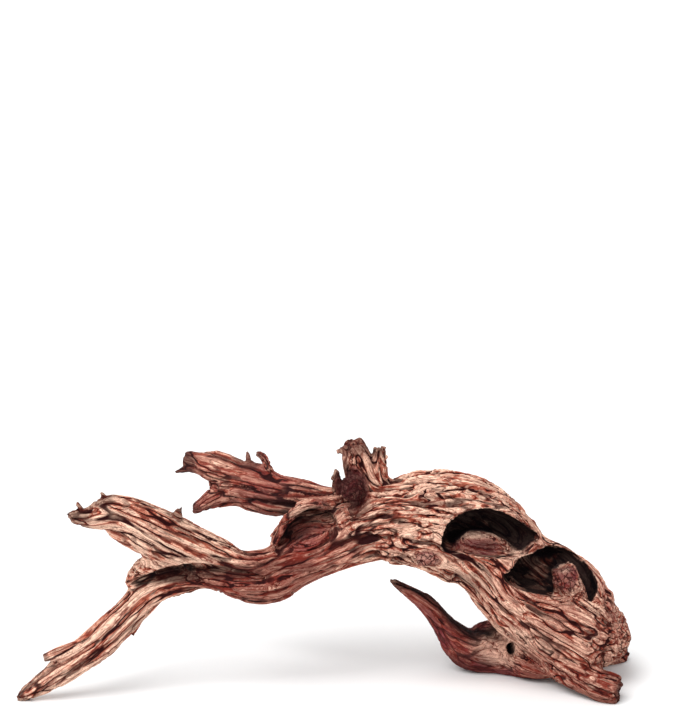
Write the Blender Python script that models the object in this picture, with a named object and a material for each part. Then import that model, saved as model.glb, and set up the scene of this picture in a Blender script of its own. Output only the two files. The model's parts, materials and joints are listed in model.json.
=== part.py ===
"""A branching piece of aquarium driftwood, about 25 cm long, that stands on its root tips like a low arch.

The wood grew as one piece. It is shaped as one skin, and then parted at its main forks by a fine saw gap.
X runs along the piece, Y away from the side that is usually seen, Z up. The floor is Z = 0.
The shaping is done in millimetres, and the finished pieces are scaled to metres.
"""

import math

import bmesh
import bpy
from mathutils import Vector, noise

# Driving dimensions, in millimetres.
MM = 0.001
FOOTPRINT_MIDDLE = Vector((2.0, 27.5, 0.0))
SAW_GAP = 0.3
COARSE = 1.6
FINE = 0.9
FORK_SMOOTHING = 3
TRIANGLES = 7700
RIDGE_WIDTH = 6.5
RIDGE_LENGTH = 34.0
GRAIN_TWIST = 0.012
TEAR_SPIKES = 2.6
DEPTHWAYS = Vector((0.0, 1.0, 0.0))

# A station is (x, y, z, half width seen from the front, half depth). Each limb starts at its thick end.
MAIN_TRUNK = (
    (12, 20, 69, 12, 14),
    (23, 20, 72.5, 16.5, 16),
    (34, 21, 72, 18, 18),
    (45, 22, 71.5, 20.5, 20),
    (55, 24, 69.5, 22, 22),
    (63, 25, 65.5, 21.5, 24),
    (71, 26, 58, 20, 25),
    (78, 27, 49, 19.5, 26),
    (88, 28, 40, 22, 26),
    (98, 29, 31, 22.5, 26),
    (108, 30, 25, 19.5, 25),
    (118, 30, 22, 15, 20),
    (123, 30, 22, 10, 13),
    (127, 30, 23, 5, 7),
)
MIDDLE_LIMB = (
    (18, 20, 70, 14.5, 14),
    (5, 18, 64, 12, 13),
    (-10, 16, 57, 10.5, 12),
    (-23, 14, 51, 11.5, 11),
    (-37, 13, 51, 9.5, 10),
    (-49, 12, 51, 4.5, 8),
    (-60, 11, 50, 3.5, 5),
)
GROOVE_BACK = (
    (-38, 15, 53, 5.5, 5),
    (-53, 14, 52, 5.5, 5),
    (-67, 13, 51, 4.5, 4),
    (-80, 12, 47, 2.5, 3),
)
LEFT_ROOT = (
    (-53, 12, 50, 4, 5),
    (-67, 11, 47, 5.5, 6),
    (-76, 10, 41, 6.5, 6),
    (-83, 9, 34, 7, 6),
    (-89, 8, 28, 7.5, 6),
    (-96, 7, 22, 7.5, 5.5),
    (-102, 6, 18, 7, 5),
    (-109, 6, 13, 6, 4.5),
    (-116, 6, 8, 4.5, 3.6),
    (-122, 6, 3.5, 3.5, 3),
    (-127, 6, 0, 1.8, 2),
)
ROOT_FINGER = (
    (-95, 6, 26, 3.5, 3),
    (-102, 4, 23, 3.5, 3),
    (-109, 3, 21, 3, 2.5),
    (-115, 2, 19.5, 1.7, 1.6),
)
ROOT_SLIVER = (
    (-101, 8, 16, 3, 2.5),
    (-108, 8, 13, 2.5, 2),
    (-115, 8, 12, 1.6, 1.4),
)
LEFT_HORN = (
    (-34, 12, 55, 7, 6),
    (-46, 9, 61, 8.5, 6),
    (-57, 5, 67, 10.5, 5.5),
    (-67, 1, 73, 11, 5),
    (-78, -2, 80, 10, 5),
    (-87, -4, 83, 7.5, 4.5),
    (-93, -5, 81, 4.5, 4),
    (-98, -5, 82, 4, 3.2),
    (-102, -5, 81.5, 2.8, 2.5),
)
HORN_WEB = (
    (-62, 4, 64, 4.5, 4),
    (-71, 5, 59, 5, 4),
    (-77, 7, 53, 4, 3.5),
    (-80, 9, 48, 2.5, 3),
)
BACK_BRANCH = (
    (9, 28, 77, 6, 8),
    (-3, 32, 77, 7, 8),
    (-11, 36, 78, 7.5, 8),
    (-21, 40, 78, 9, 7),
    (-30, 44, 80, 10, 6.5),
    (-37, 46, 80, 8.5, 6),
    (-44, 48, 76, 5.5, 5),
    (-50, 50, 72, 4, 4),
    (-56, 51, 68, 2.2, 2.5),
)
BACK_PRONG = (
    (-31, 45, 83, 6.5, 5),
    (-39, 47, 85, 7, 5),
    (-46, 49, 87, 7, 5),
    (-52, 51, 88.5, 5.5, 4.5),
    (-57, 53, 89, 4.5, 3.5),
    (-59, 54, 89, 4, 3),
)
CROWN_STUB = (
    (19, 22, 76, 10.5, 12),
    (17, 22, 84, 8.5, 11),
    (15, 22, 91, 6.5, 9),
    (13.5, 22, 97, 6.5, 8),
    (12.5, 22, 102, 6, 7),
    (12, 22, 106, 3.6, 5),
)
CROWN_FINGER = (
    (24.5, 22, 85, 3.7, 5),
    (23, 22, 92, 3.3, 4),
    (22.5, 22, 98, 3.1, 3.5),
    (22.5, 22, 103, 2.2, 2.5),
)
CROWN_SPIKE = (
    (6.5, 17, 86, 3.3, 4),
    (5, 16, 91, 2.4, 3),
    (4.5, 15, 96, 0.8, 1),
)
SPUR = (
    (101, 36, 19, 14, 20),
    (91, 41, 12, 13, 20),
    (80, 44, 10, 12, 17),
    (71, 44, 9.5, 11, 14),
    (62, 42, 9.5, 8.5, 11),
    (56, 41, 14, 7, 9),
    (51, 40, 20, 5.5, 7),
    (46, 39, 27, 4.5, 5.5),
    (41, 38, 32, 4, 4.8),
    (36, 37, 36, 3.2, 4),
    (31, 36, 40, 2.3, 3),
    (27, 35, 43, 1.3, 1.8),
)
FRONT_STUB = (
    (95, 24, 11, 6.5, 8),
    (103, 16, 8, 6.5, 8),
    (110, 10, 6.5, 6.5, 7.5),
    (116, 6, 5.5, 6.8, 7),
    (121, 4, 4.5, 6, 6),
)
REAR_STUB = (
    (106, 42, 17, 9.5, 12),
    (116, 50, 9, 7, 10),
    (122, 55, 4, 5.5, 9),
    (125, 57, 2, 4.7, 8),
    (127.5, 58, 1.5, 4.3, 7),
)
EAR_WALL = (
    (2, 26, 74, 6, 4),
    (-8, 23, 72, 6, 4),
    (-16, 21, 68, 4.5, 4),
    (-22, 20, 64, 2, 3),
)

# Small forms that stay crisp.
EAR_LIP = (
    (2, 22, 77.5, 1.6, 4),
    (-3, 20, 80, 1.8, 5),
    (-8, 18, 80, 1.8, 5),
    (-12, 16, 78, 1.8, 4.5),
    (-16, 14, 74, 1.8, 4),
    (-18.5, 14, 69, 1.6, 4),
    (-21, 14, 64, 1.6, 4),
)
HORN_TIP = ((-96, -5, 82, 2.4, 2.4), (-98, -5, 85, 1.5, 1.8), (-99, -5, 88.5, 0.5, 0.6))
HORN_END = ((-98, -5, 81, 1.9, 2.0), (-101, -5, 82, 1.3, 1.5), (-104, -5, 83.5, 0.5, 0.6))
HORN_TEAR = ((-86, -4, 85, 3.0, 2.5), (-88, -4, 89, 1.6, 1.6), (-89.5, -4, 92, 0.5, 0.6))
HORN_THORN = ((-60, 0, 80, 3.0, 2.5), (-58.5, 0, 83, 1.6, 1.6), (-57, -1, 85.5, 0.5, 0.6))
ROOT_THORN = ((-77, 9, 33, 2.0, 2.0), (-78, 9, 29, 1.1, 1.2), (-78.5, 9, 26, 0.5, 0.5))
PRONG_TIP = ((-55.5, 53, 87, 2.5, 2.5), (-59.5, 54, 85, 1.5, 1.8), (-63.5, 54.5, 83.5, 0.5, 0.7))
BRANCH_SPIKE = ((-30.5, 46, 87, 2.2, 2.0), (-32, 46, 92, 1.2, 1.2), (-32.5, 46, 95.5, 0.5, 0.5))
CURLED_LIP = (
    (-19, 41, 82, 1.8, 2.2),
    (-22.5, 41, 87, 1.6, 3.0),
    (-24, 42, 91, 1.5, 3.2),
    (-26, 44, 94, 1.6, 2.6),
    (-28, 46, 94.5, 1.2, 1.8),
)
CROWN_EDGE = ((12, 20, 100, 3.0, 3.5), (8, 20, 103, 1.8, 2.4), (5, 20, 102, 0.7, 0.9))
TONGUE = (
    (78, 13, 58, 3, 4),
    (72, 12, 62, 5, 5),
    (64, 12, 65, 6, 5.5),
    (57.5, 12, 65.5, 5, 5),
    (53, 13, 62, 2, 3),
)
BROKEN_CHUNK = (
    (105, 17, 30, 6, 5),
    (103, 15, 38, 6.5, 6),
    (100.5, 13, 45, 6.5, 6.5),
    (98.5, 12, 51, 6, 6.5),
    (97.5, 12, 55, 5, 6),
)
FLAP = ((96, 13, 14.5, 4.0, 4.0), (101.5, 10, 12.5, 3.0, 3.0), (106, 7, 11.5, 1.0, 1.4))
SPUR_CURL = ((66, 34, 21, 2.6, 2.6), (62, 33, 23.5, 1.6, 2.0), (60.5, 33, 26.5, 1.0, 1.4))

# Hollows, swept in the same way as the limbs and then cut away.
UPPER_HOLLOW = (
    (49.5, 8, 66, 2, 8),
    (54, 6, 70.5, 7, 12),
    (61, 5, 72.5, 9, 15),
    (70, 5, 71.5, 9, 16),
    (79, 8, 69, 6.5, 14),
    (86, 11, 67.2, 2.8, 10),
    (91, 14, 65.8, 1.2, 6),
)
LOWER_HOLLOW = (
    (73, 8, 54.5, 2.5, 9),
    (80, 8, 55, 7, 15),
    (90, 10, 54, 8.5, 17),
    (99, 14, 52.5, 9.5, 18),
    (105.5, 17, 50, 8, 16),
    (108.5, 19, 45, 3.5, 11),
    (109, 20, 41, 2, 7),
)
EAR_HOLLOW = (
    (-17, 10, 66, 2, 5),
    (-11, 12, 71, 4, 7),
    (-4, 13, 74.5, 5, 7),
    (4, 15, 76, 3.7, 6),
)
LIP_GROOVE = (
    (-82, 4, 49.5, 1.3, 3),
    (-74, 3, 51.5, 2.6, 5.5),
    (-66, 2, 54.8, 2.8, 6.5),
    (-57, 2, 57, 2.6, 6.5),
    (-48, 2, 57.5, 2.1, 5.5),
    (-36, 3, 55.5, 1.4, 4.5),
    (-24, 4, 53, 0.9, 2.5),
)

# Round lumps and pits: (centre, radii along X, Y and Z).
BURL = ((11, 11, 89.5), (4.6, 4.6, 5.4))
BURL_RECESS = ((11, 7.5, 88), (6.2, 6.5, 9.5))
KNOT = ((41.5, 8, 61), (5.5, 5, 3.6))
KNOT_HOLE = ((78, 22, 14), (2.2, 12, 3.6))
SMALL_HOLE = ((73, 16, 28), (1.6, 8, 1.6))

# Each limb: its stations, sides round it, ridge height, length of its torn end, and the number of its own grain.
BODY = {
    "main_trunk": (MAIN_TRUNK, 80, 1.6, 0.0, 1),
    "middle_limb": (MIDDLE_LIMB, 56, 1.0, 0.0, 2),
    "groove_back": (GROOVE_BACK, 24, 0.0, 0.0, 3),
    "left_root": (LEFT_ROOT, 40, 0.8, 0.0, 4),
    "left_horn": (LEFT_HORN, 48, 0.8, 2.0, 5),
    "horn_web": (HORN_WEB, 32, 0.4, 0.0, 6),
    "back_branch": (BACK_BRANCH, 48, 0.9, 2.0, 7),
    "back_prong": (BACK_PRONG, 40, 0.8, 2.0, 8),
    "crown_stub": (CROWN_STUB, 48, 0.8, 3.0, 9),
    "spur": (SPUR, 56, 0.7, 0.0, 10),
    "front_stub": (FRONT_STUB, 40, 0.8, 3.0, 11),
    "rear_stub": (REAR_STUB, 48, 0.9, 3.0, 12),
    "ear_wall": (EAR_WALL, 32, 0.4, 0.0, 13),
}
CRISP = {
    "root_finger": (ROOT_FINGER, 24, 0.4, 0.0, 14),
    "root_sliver": (ROOT_SLIVER, 20, 0.2, 0.0, 15),
    "crown_finger": (CROWN_FINGER, 24, 0.4, 1.5, 16),
    "crown_spike": (CROWN_SPIKE, 20, 0.2, 0.0, 17),
    "crown_edge": (CROWN_EDGE, 20, 0.2, 0.0, 18),
    "ear_lip": (EAR_LIP, 24, 0.2, 0.0, 19),
    "horn_tip": (HORN_TIP, 16, 0.0, 0.0, 20),
    "horn_end": (HORN_END, 16, 0.0, 0.0, 21),
    "horn_tear": (HORN_TEAR, 16, 0.0, 0.0, 22),
    "horn_thorn": (HORN_THORN, 16, 0.0, 0.0, 23),
    "root_thorn": (ROOT_THORN, 16, 0.0, 0.0, 24),
    "prong_tip": (PRONG_TIP, 16, 0.0, 0.0, 25),
    "branch_spike": (BRANCH_SPIKE, 16, 0.0, 0.0, 26),
    "curled_lip": (CURLED_LIP, 24, 0.2, 0.0, 27),
    "tongue": (TONGUE, 32, 0.5, 0.0, 28),
    "broken_chunk": (BROKEN_CHUNK, 32, 0.5, 2.0, 29),
    "flap": (FLAP, 20, 0.2, 0.0, 30),
    "spur_curl": (SPUR_CURL, 16, 0.0, 0.0, 31),
}
HOLLOWS = {
    "upper_hollow": (UPPER_HOLLOW, 40, 0.4, 0.0, 32),
    "lower_hollow": (LOWER_HOLLOW, 40, 0.4, 0.0, 33),
    "ear_hollow": (EAR_HOLLOW, 32, 0.4, 0.0, 34),
    "lip_groove": (LIP_GROOVE, 24, 0.0, 0.0, 35),
}

# Forks, in the order in which they are cut: a point in the cut, the way the limb leaves it, and how far the
# saw reaches from that point, which takes in the whole limb there and no other.
FORKS = {
    "left_horn": ((-54, 6, 58), (-0.27, 0.0, 0.96), 36),
    "left_root": ((-56, 12, 50), (-1.0, 0.0, -0.1), 20),
    "main_trunk": ((31, 21, 72), (1.0, 0.0, 0.1), 26),
    "crown_stub": ((14, 20, 86), (-0.2, -0.65, 0.7), 30),
    "back_branch": ((-10, 36, 79), (-0.9, 0.45, 0.0), 15),
    "back_prong": ((-43.5, 48, 87), (-0.67, 0.0, 0.74), 14),
    "spur": ((62, 42, 10), (-1.0, 0.0, 0.3), 18),
    "front_stub": ((107, 9, 9), (0.45, -0.5, -0.74), 20),
    "rear_stub": ((118, 52, 7), (0.9, 0.3, -0.3), 16),
}
# A point at the far end of each finished piece, by which the piece is known.
ENDS = {
    "main_trunk": (127, 30, 23),
    "middle_limb": (-23, 14, 40),
    "left_root": (-127, 6, 0),
    "left_horn": (-104, -5, 83),
    "back_branch": (-56, 51, 68),
    "back_prong": (-63, 54, 84),
    "crown_stub": (12, 22, 108),
    "spur": (27, 35, 43),
    "front_stub": (121, 3, 4),
    "rear_stub": (130, 58, 3),
}
COLOURS = {
    "main_trunk": (0.42, 0.24, 0.15),
    "middle_limb": (0.33, 0.16, 0.11),
    "left_root": (0.36, 0.19, 0.13),
    "left_horn": (0.43, 0.24, 0.17),
    "back_branch": (0.25, 0.11, 0.09),
    "back_prong": (0.25, 0.11, 0.09),
    "crown_stub": (0.32, 0.17, 0.12),
    "spur": (0.22, 0.12, 0.10),
    "front_stub": (0.38, 0.20, 0.13),
    "rear_stub": (0.38, 0.20, 0.14),
}


def clear_scene():
    for item in list(bpy.data.objects):
        bpy.data.objects.remove(item)


def between(before, start, end, after, share):
    """A point on the smooth (Catmull-Rom) curve that runs from start to end."""
    return 0.5 * (
        2 * start
        + (end - before) * share
        + (2 * before - 5 * start + 4 * end - after) * share**2
        + (3 * start - before - 3 * end + after) * share**3
    )


def smooth_rings(stations, step):
    """(centre, half width, half depth, run) every step mm along a smooth curve through the stations."""
    rows = [(Vector(s[:3]), s[3], s[4]) for s in stations]
    rows = [rows[0], *rows, rows[-1]]
    rings = []
    run = 0.0
    for i in range(1, len(rows) - 2):
        four = rows[i - 1 : i + 3]
        length = (four[2][0] - four[1][0]).length
        count = max(1, round(length / step))
        last = i == len(rows) - 3
        for k in range(count + last):
            share = k / count
            centre, wide, deep = (between(*[row[n] for row in four], share) for n in range(3))
            rings.append((centre, wide, deep, run + length * share))
        run += length
    return rings


def ridges(across, deepways, run, seed):
    """Rounded ridges with sharp crevices between them, which wander along the grain, from about -1 to 1."""
    place = Vector((across / RIDGE_WIDTH, deepways / RIDGE_WIDTH, run / RIDGE_LENGTH + 7.0 * seed))
    return 0.8 * noise.noise(place * 0.45) + 3.0 * abs(noise.noise(place)) - 0.6


def tear(around, seed):
    """How far the torn end stands out at this side, from 0 to 1."""
    place = Vector((TEAR_SPIKES * math.cos(around), TEAR_SPIKES * math.sin(around), 3.0 * seed))
    return max(0.0, noise.noise(place) + 0.25)


def limb(name, stations, sides, ridge_height, torn, seed):
    """A limb: a ring of sides, extruded from station to station, with its two ends closed."""
    rings = smooth_rings(stations, 2.0)
    total = rings[-1][3]
    shape = bmesh.new()
    angle = shape.verts.layers.float.new("around")
    ring = bmesh.ops.create_circle(shape, segments=sides, radius=1.0)["verts"]
    for corner in ring:
        corner[angle] = math.atan2(corner.co.y, corner.co.x)
    edges = list(shape.edges)
    for i, (centre, wide, deep, run) in enumerate(rings):
        if i:
            grown = bmesh.ops.extrude_edge_only(shape, edges=edges)["geom"]
            ring = [g for g in grown if isinstance(g, bmesh.types.BMVert)]
            edges = [g for g in grown if isinstance(g, bmesh.types.BMEdge)]
        ahead = (rings[min(i + 1, len(rings) - 1)][0] - rings[max(i - 1, 0)][0]).normalized()
        side = ahead.cross(DEPTHWAYS).normalized()
        depth = side.cross(ahead)
        near_end = max(0.0, 1.0 - (total - run) / torn) if torn else 0.0
        for corner in ring:
            around = corner[angle]
            turn = around + GRAIN_TWIST * run
            rise = ridge_height * ridges(wide * math.cos(turn), deep * math.sin(turn), run, seed)
            reach = side * math.cos(around) * (wide + rise) + depth * math.sin(around) * (deep + rise)
            corner.co = centre + reach + ahead * (torn * near_end * tear(around, seed))
    close_end(shape, edges, ahead * (-0.5 * torn))
    close_end(shape, [e for e in shape.edges if e.is_boundary], Vector())
    bmesh.ops.recalc_face_normals(shape, faces=shape.faces)
    return put(name, shape)


def close_end(shape, edges, sink):
    """Closes a ring of edges by drawing it in to one point, moved by sink."""
    inner = bmesh.ops.extrude_edge_only(shape, edges=edges)["geom"]
    corners = [g for g in inner if isinstance(g, bmesh.types.BMVert)]
    middle = sum((c.co for c in corners), Vector()) / len(corners)
    bmesh.ops.pointmerge(shape, verts=corners, merge_co=middle + sink)


def round_lump(name, centre, radii):
    """A lump, or the cutter of a pit: a ball stretched to its three radii."""
    shape = bmesh.new()
    bmesh.ops.create_icosphere(shape, subdivisions=3, radius=1.0)
    bmesh.ops.scale(shape, vec=radii, verts=shape.verts)
    bmesh.ops.translate(shape, vec=centre, verts=shape.verts)
    return put(name, shape)


def put(name, shape):
    """Makes a bmesh an object of the scene."""
    mesh = bpy.data.meshes.new(name)
    shape.to_mesh(mesh)
    shape.free()
    made = bpy.data.objects.new(name, mesh)
    bpy.context.scene.collection.objects.link(made)
    return made


def settle(made):
    """Makes the object's mesh what its modifiers show."""
    seen = made.evaluated_get(bpy.context.evaluated_depsgraph_get())
    made.data = bpy.data.meshes.new_from_object(seen)
    made.modifiers.clear()


def join(name, objects):
    """One object that holds the meshes of all."""
    shape = bmesh.new()
    for part in objects:
        shape.from_mesh(part.data)
        bpy.data.objects.remove(part)
    return put(name, shape)


def grow_together(made, voxel):
    """Turns overlapping closed shapes into one closed skin."""
    skin = made.modifiers.new("skin", "REMESH")
    skin.mode = "VOXEL"
    skin.voxel_size = voxel
    settle(made)


def ease(made, repeats):
    """Rounds off the creases where limbs meet."""
    soft = made.modifiers.new("soft", "SMOOTH")
    soft.factor = 0.5
    soft.iterations = repeats
    settle(made)


def carve(made, cutters):
    """Cuts each cutter's shape away."""
    for cutter in cutters:
        cut = made.modifiers.new("cut", "BOOLEAN")
        cut.operation = "DIFFERENCE"
        cut.object = cutter
        settle(made)
        bpy.data.objects.remove(cutter)


def thin_out(made, triangles):
    """Keeps only as many triangles as the shape needs."""
    made.data.calc_loop_triangles()
    fewer = made.modifiers.new("fewer", "DECIMATE")
    fewer.ratio = triangles / len(made.data.loop_triangles)
    settle(made)


def whole_skin():
    """The whole wood as one closed skin."""
    wood = join("wood", [limb(name, *row) for name, row in BODY.items()])
    grow_together(wood, COARSE)
    ease(wood, FORK_SMOOTHING)
    pits = [limb(name, *row) for name, row in HOLLOWS.items()]
    pits += [round_lump("burl_recess", *BURL_RECESS)]
    pits += [round_lump("knot_hole", *KNOT_HOLE)]
    pits += [round_lump("small_hole", *SMALL_HOLE)]
    carve(wood, pits)
    crisp = [limb(name, *row) for name, row in CRISP.items()]
    crisp += [round_lump("burl", *BURL)]
    crisp += [round_lump("knot", *KNOT)]
    wood = join("wood", [wood, *crisp])
    grow_together(wood, FINE)
    return wood


def rest_flat(shape):
    """Cuts the feet off flat at the floor."""
    everything = [*shape.verts, *shape.edges, *shape.faces]
    cut = bmesh.ops.bisect_plane(
        shape, geom=everything, dist=0.0001, plane_co=(0, 0, 0), plane_no=(0, 0, 1), clear_inner=True
    )["geom_cut"]
    bmesh.ops.holes_fill(shape, edges=[g for g in cut if isinstance(g, bmesh.types.BMEdge)], sides=0)


def connected(items, neighbours):
    """Sorts items into groups that hang together, in a fixed order."""
    left = dict.fromkeys(items)
    groups = []
    while left:
        first = next(iter(left))
        del left[first]
        group = [first]
        for item in group:
            for other in neighbours(item):
                if other in left:
                    del left[other]
                    group.append(other)
        groups.append(group)
    return groups


def closed_loops(edges):
    """The edges of those loops that close on themselves."""
    loops = connected(edges, lambda edge: [e for v in edge.verts for e in v.link_edges])

    def closes(loop):
        here = set(loop)
        return all(sum(e in here for e in v.link_edges) == 2 for edge in loop for v in edge.verts)

    return [edge for loop in loops if closes(loop) for edge in loop]


def saw(shape, place, ahead, reach):
    """Parts one limb from the rest at a place by a straight cut of the width of the saw gap."""
    place = Vector(place)
    ahead = Vector(ahead).normalized()
    walls = {}
    for side in (-0.5, 0.5):
        near = dict.fromkeys(f for f in shape.faces if (f.calc_center_median() - place).length < reach)
        near.update(dict.fromkeys(g for f in list(near) for g in [*f.edges, *f.verts]))
        cut = bmesh.ops.bisect_plane(
            shape, geom=list(near), dist=0.0001, plane_co=place + ahead * SAW_GAP * side, plane_no=ahead
        )["geom_cut"]
        walls.update(dict.fromkeys(closed_loops([g for g in cut if isinstance(g, bmesh.types.BMEdge)])))

    def in_gap(face):
        return abs((face.calc_center_median() - place).dot(ahead)) < SAW_GAP / 2

    def beside(face):
        return [f for e in face.edges if e not in walls for f in e.link_faces]

    band = dict.fromkeys(f for e in walls for f in e.link_faces if in_gap(f))
    found = list(band)
    for face in found:
        for other in beside(face):
            if other not in band:
                band[other] = None
                found.append(other)
    bmesh.ops.delete(shape, geom=found, context="FACES")
    bmesh.ops.holes_fill(shape, edges=[e for e in shape.edges if e.is_boundary], sides=0)


def pieces(shape):
    """The faces of each separate piece, by the name of the piece whose end lies in it."""
    groups = connected(shape.faces, lambda face: [f for e in face.edges for f in e.link_faces])

    def distance(group, end):
        return min((v.co - Vector(end)).length for f in group for v in f.verts)

    return {name: min(groups, key=lambda group: distance(group, end)) for name, end in ENDS.items()}


def wood_material(name):
    look = bpy.data.materials.new(name + "_wood")
    look.use_nodes = True
    shader = look.node_tree.nodes["Principled BSDF"]
    shader.inputs["Base Color"].default_value = (*COLOURS[name], 1.0)
    shader.inputs["Roughness"].default_value = 0.75
    shader.inputs["Metallic"].default_value = 0.0
    return look


def place_piece(name, shape, faces):
    """Makes one piece an object, in metres, with the middle of the footprint at the origin."""
    keep = {f.index for f in faces}
    piece = shape.copy()
    bmesh.ops.delete(piece, geom=[f for f in piece.faces if f.index not in keep], context="FACES")
    bmesh.ops.translate(piece, vec=-FOOTPRINT_MIDDLE, verts=piece.verts)
    bmesh.ops.scale(piece, vec=(MM, MM, MM), verts=piece.verts)
    made = put(name, piece)
    made.data.materials.append(wood_material(name))


clear_scene()
wood = whole_skin()
thin_out(wood, TRIANGLES)
shape = bmesh.new()
shape.from_mesh(wood.data)
bpy.data.objects.remove(wood)
rest_flat(shape)
for place, ahead, reach in FORKS.values():
    saw(shape, place, ahead, reach)
bmesh.ops.triangulate(shape, faces=[f for f in shape.faces if len(f.verts) > 3])
shape.faces.index_update()
for name, faces in pieces(shape).items():
    place_piece(name, shape, faces)
    print(name, len(faces), "triangles")
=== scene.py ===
# %% [markdown]
# # A piece of aquarium driftwood
#
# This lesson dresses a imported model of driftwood: a hollow trunk, a long thin root, a fan-shaped horn and
# a few torn stubs, all grown as one low arch about 26 cm long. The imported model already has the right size
# and the main forms. What it lacks is what makes old wood look old: strands of grain that run along every
# limb and part round each hole, crevices between them, dark hollows and pale worn edges.
#
# The work goes in this order: the camera, the same limbs again but finer, one skin over all of them, the
# grain, the pieces, the finishes, and last the floor and the light.

import itertools
import json
import math

import bmesh
import bpy
import numpy as np
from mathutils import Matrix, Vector, kdtree, noise
from mathutils.bvhtree import BVHTree


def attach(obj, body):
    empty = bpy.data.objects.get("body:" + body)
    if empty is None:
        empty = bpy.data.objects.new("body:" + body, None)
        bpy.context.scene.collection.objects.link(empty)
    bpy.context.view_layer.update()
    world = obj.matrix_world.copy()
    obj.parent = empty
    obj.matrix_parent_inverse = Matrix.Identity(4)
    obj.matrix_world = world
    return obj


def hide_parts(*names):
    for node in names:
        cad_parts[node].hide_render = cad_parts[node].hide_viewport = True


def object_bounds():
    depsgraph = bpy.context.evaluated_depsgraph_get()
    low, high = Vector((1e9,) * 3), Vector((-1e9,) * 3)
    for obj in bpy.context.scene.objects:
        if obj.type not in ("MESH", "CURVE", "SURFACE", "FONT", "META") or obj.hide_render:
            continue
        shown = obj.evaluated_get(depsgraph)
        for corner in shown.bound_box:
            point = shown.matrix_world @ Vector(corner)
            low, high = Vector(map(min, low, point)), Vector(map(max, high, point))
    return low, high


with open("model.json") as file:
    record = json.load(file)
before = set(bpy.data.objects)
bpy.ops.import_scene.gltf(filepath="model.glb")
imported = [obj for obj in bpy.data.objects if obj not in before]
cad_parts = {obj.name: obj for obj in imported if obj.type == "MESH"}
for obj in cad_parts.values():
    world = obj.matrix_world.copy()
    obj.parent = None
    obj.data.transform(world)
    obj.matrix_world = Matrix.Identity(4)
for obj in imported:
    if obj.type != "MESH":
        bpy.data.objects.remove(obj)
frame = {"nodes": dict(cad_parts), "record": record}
CAD_BOX = [list(corner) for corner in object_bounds()]
print("nodes:", sorted(frame["nodes"]))
print("box in metres:", CAD_BOX)

# %% [markdown]
# ## Working size
#
# The limbs are written in millimetres, because whole numbers are easy to read and to change. The frame is
# in metres with its origin under the middle of the piece, so every finished mesh is moved by the same
# small amount and scaled once.

# %% Sizes that the whole lesson uses
# One millimetre, in the frame's metres
MM = 0.001
FOOTPRINT_MIDDLE = Vector((2.0, 27.5, 0.0))
DEPTHWAYS = Vector((0.0, 1.0, 0.0))
# The squares of the first skin, the last skin and the copy that is measured, in mm
COARSE = 1.6
FINE = 0.6
MEASURING = 1.5
# The steps along a limb, the width of a saw cut, and how near a point is to a cut when it counts as on it
RING_STEP = 2.0
SAW_GAP = 0.02
HAIR = 0.0001
# The broad ridges in mm, their turn per mm, and how many spikes a torn end has
RIDGE_WIDTH = 6.5
RIDGE_LENGTH = 34.0
GRAIN_TWIST = 0.012
TEAR_SPIKES = 2.6
# Rounds of smoothing after the first skin and after the last
FORK_SMOOTHING = 3
SKIN_SMOOTHING = 3
print("the skin's squares are", FINE, "mm wide")

# %% [markdown]
# ## The camera
#
# The photograph was taken from a little above, with a long lens that keeps the far parts nearly as large
# as the near ones. The camera comes first, so that every later step can be looked at from the right place.

# %% Camera
# The lens in mm, the point that falls in the middle of the picture, and how far away the camera stands
LENS = 135.0
AIM = Vector((6.1, 30.0, 141.0))
AWAY = 1083.8
LOOK_DOWN = math.radians(13.29)
TO_CAMERA = Vector((0.0, -math.cos(LOOK_DOWN), math.sin(LOOK_DOWN)))

camera_data = bpy.data.cameras.new("camera")
camera_data.lens = LENS
camera_data.clip_start = 0.05
camera_data.clip_end = 20.0
camera = bpy.data.objects.new("camera", camera_data)
camera.location = (AIM + AWAY * TO_CAMERA - FOOTPRINT_MIDDLE) * MM
camera.rotation_euler = (math.radians(90) - LOOK_DOWN, 0, 0)
bpy.context.scene.collection.objects.link(camera)
bpy.context.scene.camera = camera
print("camera", round(camera.location.length, 3), "m away")

# %% [markdown]
# ## The limbs
#
# Each limb is a row of stations from its thick end to its tip: where its middle is, and how wide and deep
# it is there. A smooth curve through the stations carries a ring of points that becomes the limb. This
# suits wood, which grows along curves and changes its thickness slowly. The numbers are the same as the
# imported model's, so the looks lie where the solid lies.

# %% Stations of the main limbs
# A station is (x, y, z, half width seen from the front, half depth). Each limb starts at its thick end.
MAIN_TRUNK = (
    (12, 20, 69, 12, 14),
    (23, 20, 72.5, 16.5, 16),
    (34, 21, 72, 18, 18),
    (45, 22, 71.5, 20.5, 20),
    (55, 24, 69.5, 22, 22),
    (63, 25, 65.5, 21.5, 24),
    (71, 26, 58, 20, 25),
    (78, 27, 49, 19.5, 26),
    (88, 28, 40, 22, 26),
    (98, 29, 31, 22.5, 26),
    (108, 30, 25, 19.5, 25),
    (118, 30, 22, 15, 20),
    (123, 30, 22, 10, 13),
    (127, 30, 23, 5, 7),
)
MIDDLE_LIMB = (
    (18, 20, 70, 14.5, 14),
    (5, 18, 64, 12, 13),
    (-10, 16, 57, 10.5, 12),
    (-23, 14, 51, 11.5, 11),
    (-37, 13, 51, 9.5, 10),
    (-49, 12, 51, 4.5, 8),
    (-60, 11, 50, 3.5, 5),
)
GROOVE_BACK = (
    (-38, 15, 53, 5.5, 5),
    (-53, 14, 52, 5.5, 5),
    (-67, 13, 51, 4.5, 4),
    (-80, 12, 47, 2.5, 3),
)
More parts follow.
